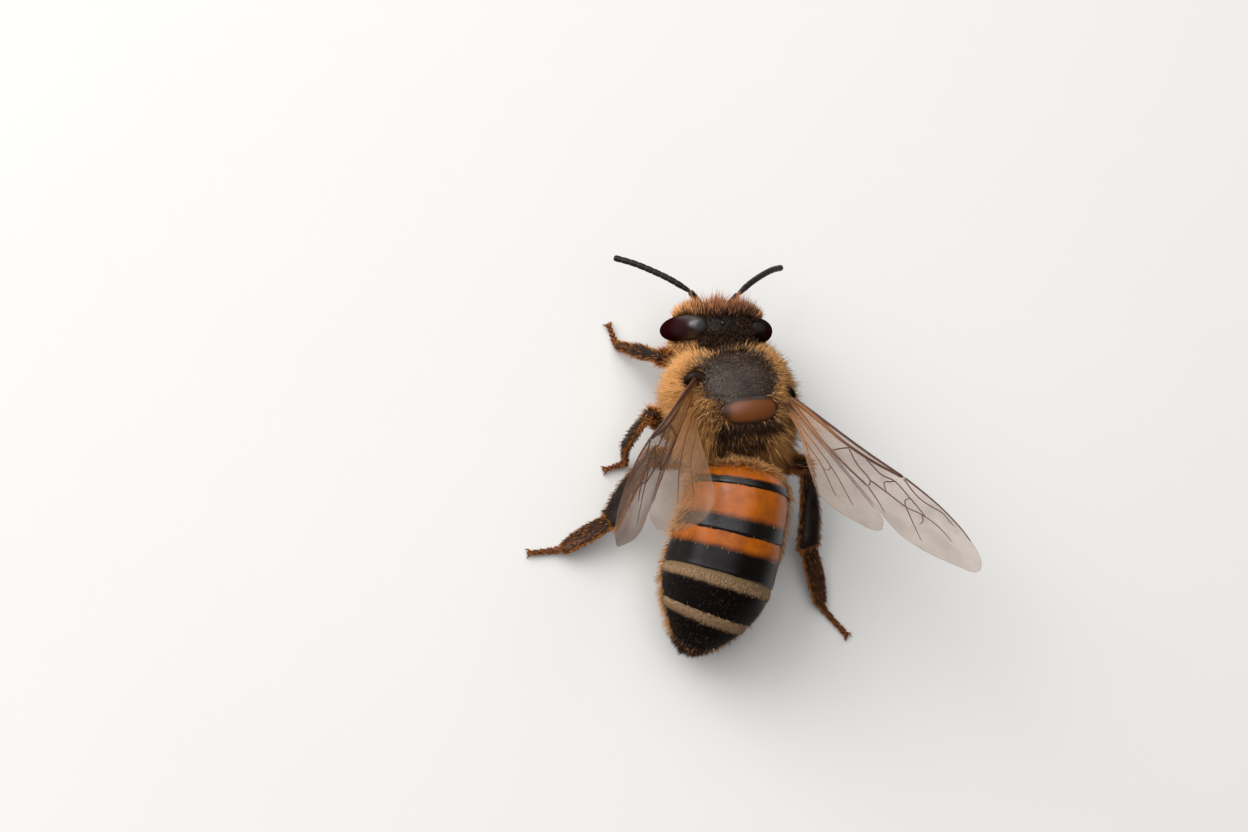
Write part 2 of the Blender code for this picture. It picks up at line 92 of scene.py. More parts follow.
class Finish:
    # a material: constants go on the shader's own sockets, wires are linked
    def __init__(self, name, **constants):
        self.material = bpy.data.materials.new(name)
        self.material.use_nodes = True
        self.tree = self.material.node_tree
        self.shader = self.tree.nodes["Principled BSDF"]
        self.finish(**constants)

    def give(self, node, inputs):
        for key, value in inputs.items():
            socket = node.inputs[key]
            if isinstance(value, Wire):
                self.tree.links.new(value.socket, socket)
            elif socket.type == "RGBA" and len(value) == 3:
                socket.default_value = (*value, 1.0)
            else:
                socket.default_value = value

    def node(self, kind, settings=None, inputs=None, output=0):
        made = self.tree.nodes.new(kind)
        for key, value in (settings or {}).items():
            if key == "stops":
                ramp = made.color_ramp.elements
                while len(ramp) < len(value):
                    ramp.new(0.5)
                for stop, (place, colour) in zip(ramp, value):
                    stop.position = place
                    stop.color = (*colour, 1.0)
            else:
                setattr(made, key, value)
        self.give(made, inputs or {})
        return Wire(self, made.outputs[output])

    def place(self):
        # the surface's place in millimetres, in the scene's own layout
        spot = self.node("ShaderNodeTexCoord", output="Object")
        return self.node("ShaderNodeMapping", {}, {
            "Vector": spot,
            "Location": [-value / mm for value in standAt],
            "Scale": (1 / mm, 1 / mm, 1 / mm),
        })

    def mark(self, name):
        return self.node("ShaderNodeAttribute", {"attribute_name": name}, output="Fac")

    def noise(self, scale, detail=3.0, stretch=None):
        spot = self.place()
        if stretch:
            spot = self.node(
                "ShaderNodeVectorMath", {"operation": "MULTIPLY"}, {0: spot, 1: stretch})
        return self.node("ShaderNodeTexNoise", {}, {
            "Vector": spot, "Scale": scale, "Detail": detail, "Roughness": 0.55,
        })

    def step(self, value, low, high):
        return self.node("ShaderNodeMapRange", {"interpolation_type": "SMOOTHSTEP"}, {
            "Value": value, "From Min": low, "From Max": high,
        })

    def mix(self, share, first, second):
        return self.node("ShaderNodeMix", {"data_type": "RGBA"}, {0: share, 6: first, 7: second}, 2)

    def bump(self, height, distance, strength=1.0, under=None):
        inputs = {"Height": height, "Distance": distance * mm, "Strength": strength}
        if under:
            inputs["Normal"] = under
        return self.node("ShaderNodeBump", {}, inputs)

    def finish(self, **inputs):
        self.give(self.shader, {key.replace("_", " "): value for key, value in inputs.items()})
        return self


def between(table, share):
    # reads a table of (share, value) rows with a smooth curve through its rows
    rows = [table[0], *table, table[-1]]
    for before, low, high, after in zip(rows, rows[1:], rows[2:], rows[3:]):
        if share <= high[0]:
            break
    span = high[0] - low[0]
    if span == 0.0:
        return high[1]
    part = min(1.0, max(0.0, (share - low[0]) / span))
    riseLow = (high[1] - before[1]) / (high[0] - before[0]) * span
    riseHigh = (after[1] - low[1]) / (after[0] - low[0]) * span
    return (
        (2 * part ** 3 - 3 * part ** 2 + 1) * low[1] + (part ** 3 - 2 * part ** 2 + part) * riseLow
        + (3 * part ** 2 - 2 * part ** 3) * high[1] + (part ** 3 - part ** 2) * riseHigh
    )


def hump(value, centre, width):
    return exp(-((value - centre) / width) ** 2)


def ease(value, low, high):
    part = max(0.0, min(1.0, (value - low) / (high - low)))
    return part * part * (3 - 2 * part)


def ball(segments, rings, place, marks=None):
    # a sphere's net with each point moved to place(share from pole to pole, turn)
    marks = marks or {}
    bm = bmesh.new()
    bmesh.ops.create_uvsphere(bm, u_segments=segments, v_segments=rings, radius=1.0)
    layers = {name: bm.verts.layers.float.new(name) for name in marks}
    for vert in bm.verts:
        height = max(-1.0, min(1.0, vert.co.z))
        share = round(rings * acos(-height) / pi) / rings
        turn = atan2(vert.co.y, vert.co.x)
        vert.co = place(share, turn)
        for name, layer in layers.items():
            vert[layer] = marks[name](share, turn)
    return bm


def onBall(share, turn):
    # the point of a unit ball at a share of the way up it and a turn round Z
    around = sin(pi * share)
    return Vector((around * cos(turn), around * sin(turn), -cos(pi * share)))


def ellipsoid(centre, radii, turned, segments, rings, shape=None):
    def place(share, turn):
        unit = onBall(share, turn)
        scale = shape(unit) if shape else 1.0
        return centre + turned @ (unit * Vector(radii) * scale)
    return ball(segments, rings, place)


def joined(pieces):
    # one bmesh of several
    whole = pieces[0]
    for piece in pieces[1:]:
        passing = bpy.data.meshes.new("passing")
        piece.to_mesh(passing)
        piece.free()
        whole.from_mesh(passing)
        bpy.data.meshes.remove(passing)
    return whole


def smoothPath(points):
    # a smooth line through the points: share along it gives the place and the heading
    stops = [Vector(point) for point in points]
    lengths = [(after - before).length for before, after in zip(stops, stops[1:])]
    whole = sum(lengths)
    shares = [sum(lengths[:index]) / whole for index in range(len(stops))]
    tables = [list(zip(shares, [stop[axis] for stop in stops])) for axis in range(3)]

    def along(share):
        place = Vector([between(table, share) for table in tables])
        ahead = Vector([between(table, min(1.0, share + 0.01)) for table in tables])
        behind = Vector([between(table, max(0.0, share - 0.01)) for table in tables])
        return place, (ahead - behind).normalized()
    return along


def rod(path, size, facing, segments, rings, blunt=0.12, marks=None):
    # a closed rod with round ends, along a path or through points: size(share, turn) gives the
    # half width across facing and the half thickness along it, or one radius for both
    if not callable(path):
        path = smoothPath(path)

    def place(share, turn):
        centre, heading = path(share)
        end = min(share, 1.0 - share)
        scale = sqrt(max(0.0, 1.0 - (1.0 - end / blunt) ** 2)) if end < blunt else 1.0
        normal = (facing - facing.dot(heading) * heading).normalized()
        across = heading.cross(normal)
        reach = size(share, turn)
        width, thickness = reach if isinstance(reach, tuple) else (reach, reach)
        return centre + scale * (across * cos(turn) * width + normal * sin(turn) * thickness)
    return ball(segments, rings, place, marks)


def linked(name, data):
    made = bpy.data.objects.new(name, data)
    bpy.context.scene.collection.objects.link(made)
    return made


def dressed(name, mesh, finish):
    # a mesh as an object with its finish, fixed to the body
    mesh.materials.append(finish.material)
    piece = linked(name, mesh)
    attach(piece, "root")
    return piece


def addPiece(name, bm, finish, replaced=()):
    # a finished piece: millimetres become the frame's metres, and it stands for its solids
    bm.normal_update()
    bmesh.ops.recalc_face_normals(bm, faces=bm.faces)
    bm.transform(toFrame)
    mesh = bpy.data.meshes.new(name)
    bm.to_mesh(mesh)
    bm.free()
    mesh.shade_smooth()
    piece = dressed(name, mesh, finish)
    if replaced:
        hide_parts(*replaced)
    return piece


def unitRows(rows):
    return rows / np.maximum(np.linalg.norm(rows, axis=1, keepdims=True), 1e-9)


def stepRows(values, low, high):
    # 0 up to low and 1 from high on, or falling where high is the lesser of the two
    part = np.clip((values - low) / (high - low), 0, 1)
    return part * part * (3 - 2 * part)


def region(local, ranges):
    # how far each spot lies inside ranges of x, y, z and wide, its distance from the middle line:
    # 0 at a range's first value and 1 at its second, and 0 again past the fourth of four values
    views = dict(zip("xyz", local.T), wide=np.abs(local[:, 0]))
    share = np.ones(len(local))
    for key, stops in ranges.items():
        share *= stepRows(views[key], *stops[:2])
        if len(stops) > 2:
            share *= stepRows(views[key], stops[3], stops[2])
    return share


strands = {
    "patch": 0.003,  # of each hair on its coat's map
    "sunk": 0.02,  # root below the skin
    "widths": (0.75, 1.25),
    "stout": {"width": 0.75, "length": 0.28, "tone": 0.3},  # how much more guard hairs have
}


def strandPattern():
    # one hair along Z, three sided and closed, cut across halfway so that it can bend
    bm = bmesh.new()
    bmesh.ops.create_cone(bm, cap_ends=True, segments=3, radius1=1.0, radius2=0.0, depth=1.0)
    bmesh.ops.remove_doubles(bm, verts=bm.verts, dist=1e-4)
    bmesh.ops.translate(bm, verts=bm.verts, vec=(0, 0, 0.5))
    geometry = [*bm.verts, *bm.edges, *bm.faces]
    bmesh.ops.bisect_plane(bm, geom=geometry, plane_co=(0, 0, 0.5), plane_no=(0, 0, 1))
    bmesh.ops.triangulate(bm, faces=bm.faces)
    bm.normal_update()
    bmesh.ops.recalc_face_normals(bm, faces=bm.faces)
    points = np.array([vert.co for vert in bm.verts])
    faces = np.array([[vert.index for vert in face.verts] for face in bm.faces])
    bm.free()
    return points, faces


patternPoints, patternFaces = strandPattern()
print("strand of", len(patternFaces), "triangles")


def rowsOf(items, key, kind=float, width=1):
    # one value, or a row of them, for each of a mesh's items
    values = np.empty(len(items) * width, kind)
    items.foreach_get(key, values)
    return values.reshape(-1, width) if width > 1 else values


def orderedTriangles(mesh, places):
    # a mesh's triangles in an order that its places alone decide, so every run grows the same
    # coat, and the odd shift keeps round values away from where rounding turns over
    order = np.lexsort(np.round(places * 1e4 + 0.137).T)
    rank = np.empty(len(order), int)
    rank[order] = np.arange(len(order))
    starts, totals = [rowsOf(mesh.polygons, key, int) for key in ("loop_start", "loop_total")]
    loops = rowsOf(mesh.loops, "vertex_index", int)
    corners = []
    for size in (3, 4):
        rings = loops[starts[totals == size][:, None] + np.arange(size)]
        turns = (rank[rings].argmin(axis=1)[:, None] + np.arange(size)) % size
        rings = np.take_along_axis(rings, turns, axis=1)
        corners += [rings[:, [0, second, second + 1]] for second in range(1, size - 1)]
    corners = np.concatenate(corners)
    return corners[np.lexsort(rank[corners].T)]


def scatter(piece, count, keep, chance):
    # spreads roots over a skin as thickly as keep says of each spot: place, normal and marks
    mesh = piece.data
    places = (rowsOf(mesh.vertices, "co", width=3) - np.array(standAt)) / mm
    normals = rowsOf(mesh.vertices, "normal", width=3)
    marks = {
        attribute.name: rowsOf(attribute.data, "value") for attribute in mesh.attributes
        if attribute.data_type == "FLOAT" and attribute.domain == "POINT"
    }
    corners = orderedTriangles(mesh, places)
    first, second, third = [places[corners[:, index]] for index in range(3)]
    weights = np.linalg.norm(np.cross(second - first, third - first), axis=1)
    middles = {name: values[corners].mean(axis=1) for name, values in marks.items()}
    middles.update(place=(first + second + third) / 3, normal=normals[corners].mean(axis=1))
    weights *= np.clip(keep(middles), 0, None)
    picks = corners[chance.choice(len(corners), count, p=weights / weights.sum())]
    one, two = chance.random((2, count))
    swap = one + two > 1
    one, two = np.where(swap, 1 - one, one), np.where(swap, 1 - two, two)
    shares = np.stack([1 - one - two, one, two], 1)
    spots = {name: (values[picks] * shares).sum(axis=1) for name, values in marks.items()}
    spots["place"] = (places[picks] * shares[:, :, None]).sum(axis=1)
    spots["normal"] = unitRows((normals[picks] * shares[:, :, None]).sum(axis=1))
    return spots


def pick(spots, chosen):
    return {name: values[chosen] for name, values in spots.items()}


def growCoat(name, hairs, unwrap, finish):
    # hairs that leave their roots one way and bend to arrive another, in one joined mesh
    roots = hairs["root"]
    count = len(roots)
    share = patternPoints[:, 2][None, :, None]
    turns = patternPoints[:, :2]
    start, end = [unitRows(hairs[key])[:, None, :] for key in ("leave", "arrive")]
    lengths, widths = [hairs[key][:, None, None] for key in ("length", "width")]
    line = roots[:, None, :] + lengths * (start * share + (end - start) * share ** 2 / 2)
    across = unitRows(np.cross(start[:, 0], np.array([0.31, 0.27, 0.91])))
    other = np.cross(start[:, 0], across)
    spread = across[:, None, :] * turns[None, :, :1] + other[:, None, :] * turns[None, :, 1:]
    swell = 1.0 + 2.0 * share * (1 - share)
    points = (line + widths * spread * swell) * mm + np.array(standAt)
    corners = patternFaces + (np.arange(count) * len(patternPoints))[:, None, None]
    corners = corners.reshape(-1)
    mesh = bpy.data.meshes.new(name)
    mesh.vertices.add(count * len(patternPoints))
    mesh.vertices.foreach_set("co", points.reshape(-1))
    mesh.loops.add(len(corners))
    mesh.loops.foreach_set("vertex_index", corners)
    mesh.polygons.add(len(corners) // 3)
    mesh.polygons.foreach_set("loop_start", np.arange(0, len(corners), 3))
    mesh.update(calc_edges=True)
    patch = strands["patch"] / 2 * np.stack([turns[:, 0], patternPoints[:, 2] * 2 - 1], 1)
    middle = np.clip(unwrap(roots), strands["patch"], 1 - strands["patch"])
    bake = mesh.uv_layers.new(name="OFBake")
    bake.uv.foreach_set("vector", (middle[:, None, :] + patch).reshape(-1, 2)[corners].reshape(-1))
    for mark, values in (
            ("tone", np.repeat(hairs["tone"], len(patternPoints))),
            ("tip", np.tile(patternPoints[:, 2], count))):
        mesh.attributes.new(mark, "FLOAT", "POINT").data.foreach_set("value", values)
    mesh.shade_smooth()
    dressed(name, mesh, finish)


def roundUnwrap(centre, turned, reach):
    # a skin unrolled round its own long axis: turn across, length up
    def unwrap(roots):
        local = (roots - np.array(centre)) @ np.array(turned)
        turn = np.arctan2(local[:, 2], local[:, 0]) / (2 * np.pi) + 0.5
        return np.stack([turn, local[:, 1] / (2 * reach) + 0.5], 1)
    return unwrap


def sway(places, scale, seed):
    # slow, smooth changes from place to place, so that hairs lean together in locks
    chance = np.random.default_rng(seed)
    total = np.zeros((len(places), 3))
    for step in range(4):
        waves = chance.normal(0, scale * (1 + 0.6 * step), (3, 3))
        total += np.sin(places @ waves + chance.random(3) * 6.28) / (1 + 0.5 * step)
    return total / 2


hairKinds = {
    # colours of the dull and of the bright hairs, and how dark the painted shade at their roots is
    "tanHair": ((0.46, 0.2, 0.055), (0.7, 0.37, 0.135), 0.6),
    "brownHair": ((0.03, 0.014, 0.009), (0.078, 0.036, 0.0156), 0.6),
    "goldHair": ((0.18, 0.065, 0.02), (0.58, 0.21, 0.04), 0.6),
    "paleHair": ((0.46, 0.2, 0.055), (0.66, 0.36, 0.145), 0.8),
    "strawHair": ((0.49, 0.31, 0.17), (0.392, 0.248, 0.136), 0.75),
    "rustHair": ((0.12, 0.045, 0.02), (0.42, 0.165, 0.07), 0.6),
    "feltHair": ((0.085, 0.06, 0.045), (0.25, 0.18, 0.13), 0.5),
}


def hairFinish(name, dull, bright, shade):
    # the tone of each hair picks between two colours, and its root is darker than its tip: a
    # painted shade deep in the coat
    hair = Finish(name, Roughness=0.65, Specular_IOR_Level=0.2)
    colour = hair.mix(hair.mark("tone"), dull, bright)
    root = hair.step(hair.mark("tip"), -0.1, 0.7)
    dark = [channel * shade for channel in dull]
    return hair.finish(Base_Color=hair.mix(root, dark, colour))


hairFinishes = {name: hairFinish(name, *values) for name, values in hairKinds.items()}


def coatPieces(name, spots, width, unwrap, chance, kind, guard=0.14):
    # each hair is brown or of its kind as its darkness says, with locks of like tone, and a few
    # stouter ones, the guard hairs, stand out of the rest
    count = len(spots["place"])
    lock = sway(spots["place"], 3.0, 5)[:, 0]
    dark = chance.random(count) < np.clip(spots["darkness"], 0, 1)
    tones = np.clip(0.45 + 0.3 * lock + 0.28 * chance.normal(0, 1, count), 0, 1)
    widths = width * chance.uniform(*strands["widths"], count)
    stout = chance.random(count) < guard
    more = strands["stout"]
    hairs = {
        "root": spots["place"] - strands["sunk"] * spots["normal"],
        "leave": spots["leave"],
        "arrive": spots["arrive"],
        "length": spots["length"] * (1 + more["length"] * stout),
        "width": widths * (1 + more["width"] * stout),
        "tone": np.clip(tones + more["tone"] * stout, 0, 1),
    }
    for finish, chosen, label in ((kind, ~dark, "light"), ("brownHair", dark, "dark")):
        if chosen.any():
            growCoat(f"{name}_{label}", pick(hairs, chosen), unwrap, hairFinishes[finish])


def shellFinish(name, dark, light, roughness=0.3, grain=34.0, relief=0.006, coat=0.25, gloss=0.5):
    # a hard cuticle: cloudy colour, fine pits and a thin gloss
    shell = Finish(name, Coat_Weight=coat, Coat_Roughness=0.15, Specular_IOR_Level=gloss)
    cloud = shell.step(shell.noise(1.6, 4.0), 0.35, 0.7)
    return shell.finish(
        Base_Color=shell.mix(cloud, dark, light),
        Roughness=shell.noise(9.0) * 0.16 + (roughness - 0.08),
        Normal=shell.bump(shell.noise(grain, 2.0), relief))


blackShell = shellFinish("blackShell", (0.008, 0.005, 0.004), (0.022, 0.013, 0.009))
amberShell = shellFinish("amberShell", (0.05, 0.014, 0.003), (0.16, 0.05, 0.01), 0.24, coat=0.5)


thorax = {
    "centre": Vector((0.15, 0.22, 3.0)),
    "yaw": 8.0,
    "halfLength": 1.82,
    "widthLow": 4.4,
    "widthHigh": 3.5,
    "rise": 1.8,  # centre to back
    "drop": 1.42,  # centre to breast
    "grooveAt": 0.1,  # between the shield of the back and the small shield behind it
    "grooveDepth": 0.04,
    "ovals": {
        # centre and reach on the back, across and along
        "disc": ((0.18, -0.63), (1.27, 0.98)),  # the worn patch
        "middle": ((0.38, -0.48), (0.95, 0.74)),  # inside it, with no more brown hairs: a painted sheen on the dome
        "shield": ((0.0, 0.46), (0.98, 0.46)),
    },
    "hairs": 19000,  # in each of three coat pieces
    "hairLength": 0.7,
    "hairWidth": 0.0085,
    "lengthChanges": [
        # by what share hairs are longer, or shorter if it is negative, and where
        (-0.35, {"z": (0.9, 1.6)}),
        (-0.2, {"z": (-0.6, -1.2)}),
        (-0.42, {"x": (-0.8, -1.6), "z": (-0.3, 0.5)}),
        (0.7, {"y": (0.5, 1.3), "wide": (0.6, 1.1)}),
        (-0.35, {"y": (-1.15, -1.5), "wide": (1.5, 1.0), "z": (0.0, 0.6)}),
    ],
    # zones of brown hairs, from the front to the rear: partly dark hair and partly painted shade,
    # in the gap behind the head, in the hollow behind the small shield and along the small shield's
    # rear edge
    "collar": {"y": (-1.5, -1.66), "z": (-0.4, 0.1), "x": (1.3, 0.7)},
    "hollow": {"y": (0.85, 1.15), "x": (-0.93, -0.48, 0.92, 1.37), "z": (-0.2, 0.3)},
    "behind": {"y": (0.75, 0.9, 1.1, 1.25), "wide": (1.15, 0.85)},
    "darkPatches": [
        # by what share more of the hairs are brown, and where
        (0.4, {"y": (0.0, 0.3, 0.8, 1.2), "z": (0.8, 1.2)}),
        (0.2, {"x": (-0.9, -1.6), "z": (0.0, 0.9), "y": (0.6, -0.2)}),
    ],
}
thoraxTurn = Matrix.Rotation(radians(thorax["yaw"]), 3, "Z")


def thoraxPoint(share, turn):
    along = -cos(pi * share)
    up = sin(turn)
    roundOff = (1.0 - abs(along) ** 2.3) ** (1 / 2.1) if abs(along) < 1 else 0.0
    taper = 1.0 - 0.12 * max(0.0, along) ** 2
    height = up * (thorax["rise"] if up > 0 else thorax["drop"])
    widest = thorax["widthHigh"] if up > 0 else thorax["widthLow"]
    middle = (thorax["widthHigh"] + thorax["widthLow"]) / 2
    half = (middle + (widest - middle) * abs(up)) / 2
    side = copysign(abs(cos(turn)) ** 0.86, cos(turn))
    x = side * half * roundOff * taper
    x *= 1.04 if x > 0 else 0.97
    y = along * thorax["halfLength"]
    top = ease(up, 0.25, 0.6)
    groove = thorax["grooveAt"] - 0.1 * x * x
    dent = thorax["grooveDepth"] * hump(y, groove, 0.06) * top
    dent += 0.12 * hump(y, 1.16 - 0.1 * x * x, 0.1) * top
    dent += 0.05 * hump(y, -1.5 + 0.08 * x * x, 0.06) * top  # collar
    dent += 0.016 * hump(abs(x), 0.78, 0.03) * top * ease(-y, -0.15, 0.1) * ease(y, -0.8, -0.5)
    dent += 0.012 * hump(x, 0.0, 0.03) * top * ease(y, -1.3, -1.1) * ease(-y, -0.15, 0.3)
    dent += 0.07 * hump(up, 0.55, 0.07) * ease(y, -1.2, -0.8) * ease(-y, -0.9, -0.4)  # wing line
    dent += 0.05 * hump(y, 0.1 + 0.2 * up, 0.06) * ease(-up, -0.35, -0.1)  # side plates
    scale = roundOff * taper - dent / 1.8
    z = height * scale - 0.15 * max(0.0, along) ** 2
    return thorax["centre"] + thoraxTurn @ Vector((x * (1 - dent / 2.4), y, z))


discFinish = Finish("backShell", Specular_IOR_Level=0.35)
felt = discFinish.noise(26.0, 4.0)
cloudy = discFinish.step(discFinish.noise(1.4), 0.3, 0.75)
bare = discFinish.mix(cloudy, (0.022, 0.014, 0.01), (0.05, 0.036, 0.028))
discFinish.finish(
    Base_Color=discFinish.mix(discFinish.mark("coated"), bare, (0.16, 0.075, 0.028)),
    Roughness=felt * 0.2 + 0.38, Normal=discFinish.bump(felt, 0.02))
scutellum = {
    "at": Vector((0.04, 0.45, 1.47)),
    "radii": Vector((1.12, 0.6, 0.34)),
    "tilt": -4.0,
    "middle": (0.13, 0.034, 0.003),
    # the dark edge colour, also used as painted shade along the rear edge and underneath
    "edge": (0.026, 0.01, 0.004),
}


def scutellumPlace(share, turn):
    unit = onBall(share, turn)
    scale = 1.0 - 0.12 * max(0.0, -unit.y) * abs(unit.x)
    scale += 0.04 * max(0.0, unit.y) * (1 - abs(unit.x))
    tilt = Matrix.Rotation(radians(scutellum["tilt"]), 3, "X")
    local = scutellum["at"] + tilt @ (unit * scutellum["radii"] * scale)
    return thorax["centre"] + thoraxTurn @ local


def scutellumRim(share, turn):
    # dark at both ends and at the front, where it meets the disc, with painted shade along the rear
    # edge and underneath
    x, y = onBall(share, turn)[:2]
    ends = ease(x, 0.4, 0.85) + ease(-x, 0.7, 1.0)
    ends += 0.95 * ease(y, 0.55, 0.9) + 0.9 * ease(-y, 0.15, 0.6)
    return max(ends, ease(0.5 - share, -0.05, 0.1))


scutellumFinish = Finish(
    "scutellumAmber", Coat_Roughness=0.28, Specular_IOR_Level=0.2, Subsurface_Weight=0.15,
    Subsurface_Radius=(0.0003, 0.00012, 0.00004), Subsurface_Scale=0.5)
rim = scutellumFinish.mark("rim") + (scutellumFinish.noise(2.5) - 0.5) * 0.4
edged = scutellumFinish.step(rim, 0.05, 1.1)
scutellumFinish.finish(
    Base_Color=scutellumFinish.mix(edged, scutellum["middle"], scutellum["edge"]),
    Coat_Weight=0.6 - 0.55 * edged,
    Roughness=scutellumFinish.noise(12.0) * 0.2 + 0.3,
    Normal=scutellumFinish.bump(scutellumFinish.noise(30.0), 0.012))
scutellumShape = ball(72, 48, scutellumPlace, {"rim": scutellumRim})
addPiece("scutellum_shield", scutellumShape, scutellumFinish, ["scutellum"])


def petiolePath(share):
    first = thorax["centre"] + Vector((-0.2, 1.5, -0.1))
    last = Vector((-0.22, 2.75, 2.95))
    return first.lerp(last, share), (last - first).normalized()


waist = rod(
    petiolePath, lambda share, turn: 0.4 - 0.12 * hump(share, 0.6, 0.25), upright, 24, 20)
addPiece("waist_neck", waist, blackShell, ["waist"])


def thoraxLocal(places):
    return (places - np.array(thorax["centre"])) @ np.array(thoraxTurn)


def ovalShare(local, oval, soft):
    # 1 inside an oval of the back, 0 outside it
    centre, reach = thorax["ovals"][oval]
    gaps = np.abs(local[:, :2] - centre) / reach
    radius = (gaps ** 2.2).sum(axis=1) ** (1 / 2.2)
    return (1 - stepRows(radius, 1 - soft, 1 + soft)) * (local[:, 2] > 0.6)


def coatedMark(share, turn):
    # where the skin is hidden under tan hair
    local = thoraxLocal(np.array([thoraxPoint(share, turn)]))
    bald = np.maximum(ovalShare(local, "disc", 0.12), ovalShare(local, "shield", 0.12))
    hollow = hump(local[0, 1], 1.4, 0.4) * hump(local[0, 0], 0.0, 0.8) * (local[0, 2] > 0)
    return float(np.clip(1 - bald[0] - hollow, 0, 1))


thoraxShape = ball(160, 112, thoraxPoint, {"coated": coatedMark})
skinThorax = addPiece("thorax_skin", thoraxShape, discFinish, ["thorax"])
print("thorax skin")
wingRoots = {"left": (1.74, -0.42, 3.82), "right": (-1.42, -0.05, 3.8)}


def thoraxKeep(spots):
    local = thoraxLocal(spots["place"])
    bare = np.ones(len(local))
    for name in sides:
        root = np.array(wingRoots[name]) + np.array((0.0, 0.05, 0.0))
        bare *= stepRows(np.linalg.norm(spots["place"] - root, axis=1), 0.28, 0.5)
    worn = 1 - 0.35 * ovalShare(local, "disc", 0.12)
    return (worn * (1 - 0.99 * ovalShare(local, "shield", 0.1)) + 0.005) * bare


chance = np.random.default_rng(11)
thoraxUnwrap = roundUnwrap(thorax["centre"], thoraxTurn, 2.0)
rearward = np.array([[0.0, 1.0, 0.0]])
upward = np.array([[0.0, 0.0, 1.0]])
for index in range(3):
    spots = scatter(skinThorax, thorax["hairs"], thoraxKeep, chance)
    local = thoraxLocal(spots["place"])
    normals = spots["normal"]
    disc = ovalShare(local, "disc", 0.14)
    front = stepRows(-local[:, 1], 1.15, 1.5)[:, None]
    wild = chance.normal(0, 1, (2, len(local), 3))
    lean = sway(spots["place"], 2.6, 3)
    outward = unitRows(local * np.array([[1.0, 0.75, 0.5]]))
    leave = normals + 0.2 * rearward + 0.2 * wild[0] + 0.22 * lean
    arrive = normals * 0.6 + 0.5 * outward + 0.5 * rearward * (1 - front)
    arrive = arrive + 0.24 * wild[1] + 0.34 * lean
    # collar, hollow and behind: brown hairs that are partly painted shade
    collar, hollow, behind = [
        region(local, thorax[zone]) for zone in ("collar", "hollow", "behind")]
    collar *= 1 - 0.42 * stepRows(local[:, 2], 0.6, 0.8)
    lengths = thorax["hairLength"] * chance.uniform(0.5, 1.15, len(local))
    for change, ranges in thorax["lengthChanges"]:
        lengths *= 1 + change * region(local, ranges)
    lengths *= 1 - 0.74 * np.maximum(disc, ovalShare(local, "shield", 0.12))
    lengths *= 1 - 0.52 * hollow
    # brown hairs round the edge of the worn patch and none in its middle paint a sheen on the dome
    rim = disc * (1 - ovalShare(local, "middle", 0.4))
    darkness = 0.98 * collar + 0.84 * hollow + 0.8 * rim + 0.6 * behind * (local[:, 2] > 0)
    for change, ranges in thorax["darkPatches"]:
        darkness += change * region(local, ranges)
    spots.update(leave=leave, arrive=arrive, length=lengths, darkness=darkness)
    felt = chance.random(len(local)) < disc * 1.1
    for label, chosen, kind in (("coat", ~felt, "tanHair"), ("pile", felt, "feltHair")):
        coatPieces(
            f"thorax_{label}_{index + 1}", pick(spots, chosen), thorax["hairWidth"], thoraxUnwrap,
            chance, kind)
print("thorax coat")


head = {
    "halfWidth": 1.56,
    "rise": 1.5,
    "drop": 1.4,
    "face": 0.74,
    "nape": 0.64,
    "eyeRadii": Vector((0.58, 0.45, 1.24)),
    "eyeShift": Vector((0.0, -0.03, 0.0)),
    "eyeLean": 10.0,
    "eyeTilt": 6.0,
    "eyeYaw": 14.0,
    "lensAt": (1.33, -0.02, 0.25),  # no hair grows inside the lenses
    "lensReach": (0.56, 0.44, 1.3),
    "gloss": {"left": 1.0, "right": 0.07},  # of the eyes' upper part
    "hairs": 19000,
    "hairLength": 0.48,
    "hairWidth": 0.008,
    "zones": {
        "crown": {"z": (1.0, 1.25), "y": (-0.42, -0.2, 0.3, 0.45)},  # between the eyes
        "brow": {"z": (0.2, 0.8), "y": (-0.1, -0.4)},  # over the feelers
        "cheek": {"wide": (0.95, 1.3)},  # beside the face
        "behindEye": {"wide": (0.9, 1.1), "z": (-0.2, 0.2), "y": (0.0, 0.15, 0.42, 0.52)},
        "mouth": {"z": (-1.15, -1.3)},
        "thick": {"wide": (0.85, 1.05), "y": (-0.1, -0.4)},  # where most hairs grow
        "beside": {"wide": (0.85, 1.1), "y": (-0.1, -0.4)},  # where they lean forward
        "nape": {"y": (0.2, 0.4), "z": (0.2, 0.6), "wide": (1.2, 0.9)},
    },
}
headAt = stance["headAt"]


def shieldRadius(x, z):
    # 1 along the edge of the shield over the mouth
    return hypot(x / 0.7, (z + 0.8) / 0.58)


def headPoint(share, turn):
    up = -cos(pi * share)
    roundOff = (1.0 - abs(up) ** 2.2) ** (1 / 2.2) if abs(up) < 1 else 0.0
    wedge = 1.0 + 0.14 * up - 0.06 * up * up
    side = cos(turn)
    back = sin(turn)
    power = 2.5 + 1.7 * ease(back, 0.0, 0.6)  # squarer behind, so that the cheeks back the eyes
    squared = (abs(side) ** power + abs(back) ** power) ** (-1 / power)
    x = side * squared * roundOff * wedge * head["halfWidth"]
    z = up * (head["rise"] if up > 0 else head["drop"])
    y = back * squared * roundOff ** 0.8 * (head["nape"] if back > 0 else head["face"])
    if back < 0:
        shield = ease(1.0 - shieldRadius(x, z), 0.0, 0.3)
        rim = hump(shieldRadius(x, z), 1.02, 0.06)
        lip = hump(z, -1.3, 0.05) * ease(0.6 - abs(x), 0.0, 0.2)
        pits = hump(hypot(abs(x) - 0.29, z - 0.05), 0.0, 0.15)
        seam = hump(x, 0.0, 0.03) * ease(z, 0.1, 0.3) * ease(-z, -1.1, -0.8)
        y -= 0.15 * shield - 0.05 * rim - 0.05 * lip - 0.1 * pits - 0.03 * seam
        y -= 0.06 * hump(hypot(x / 0.35, (z + 0.15) / 0.3), 0.0, 0.8)
    return headAt + Vector((x, y, z))


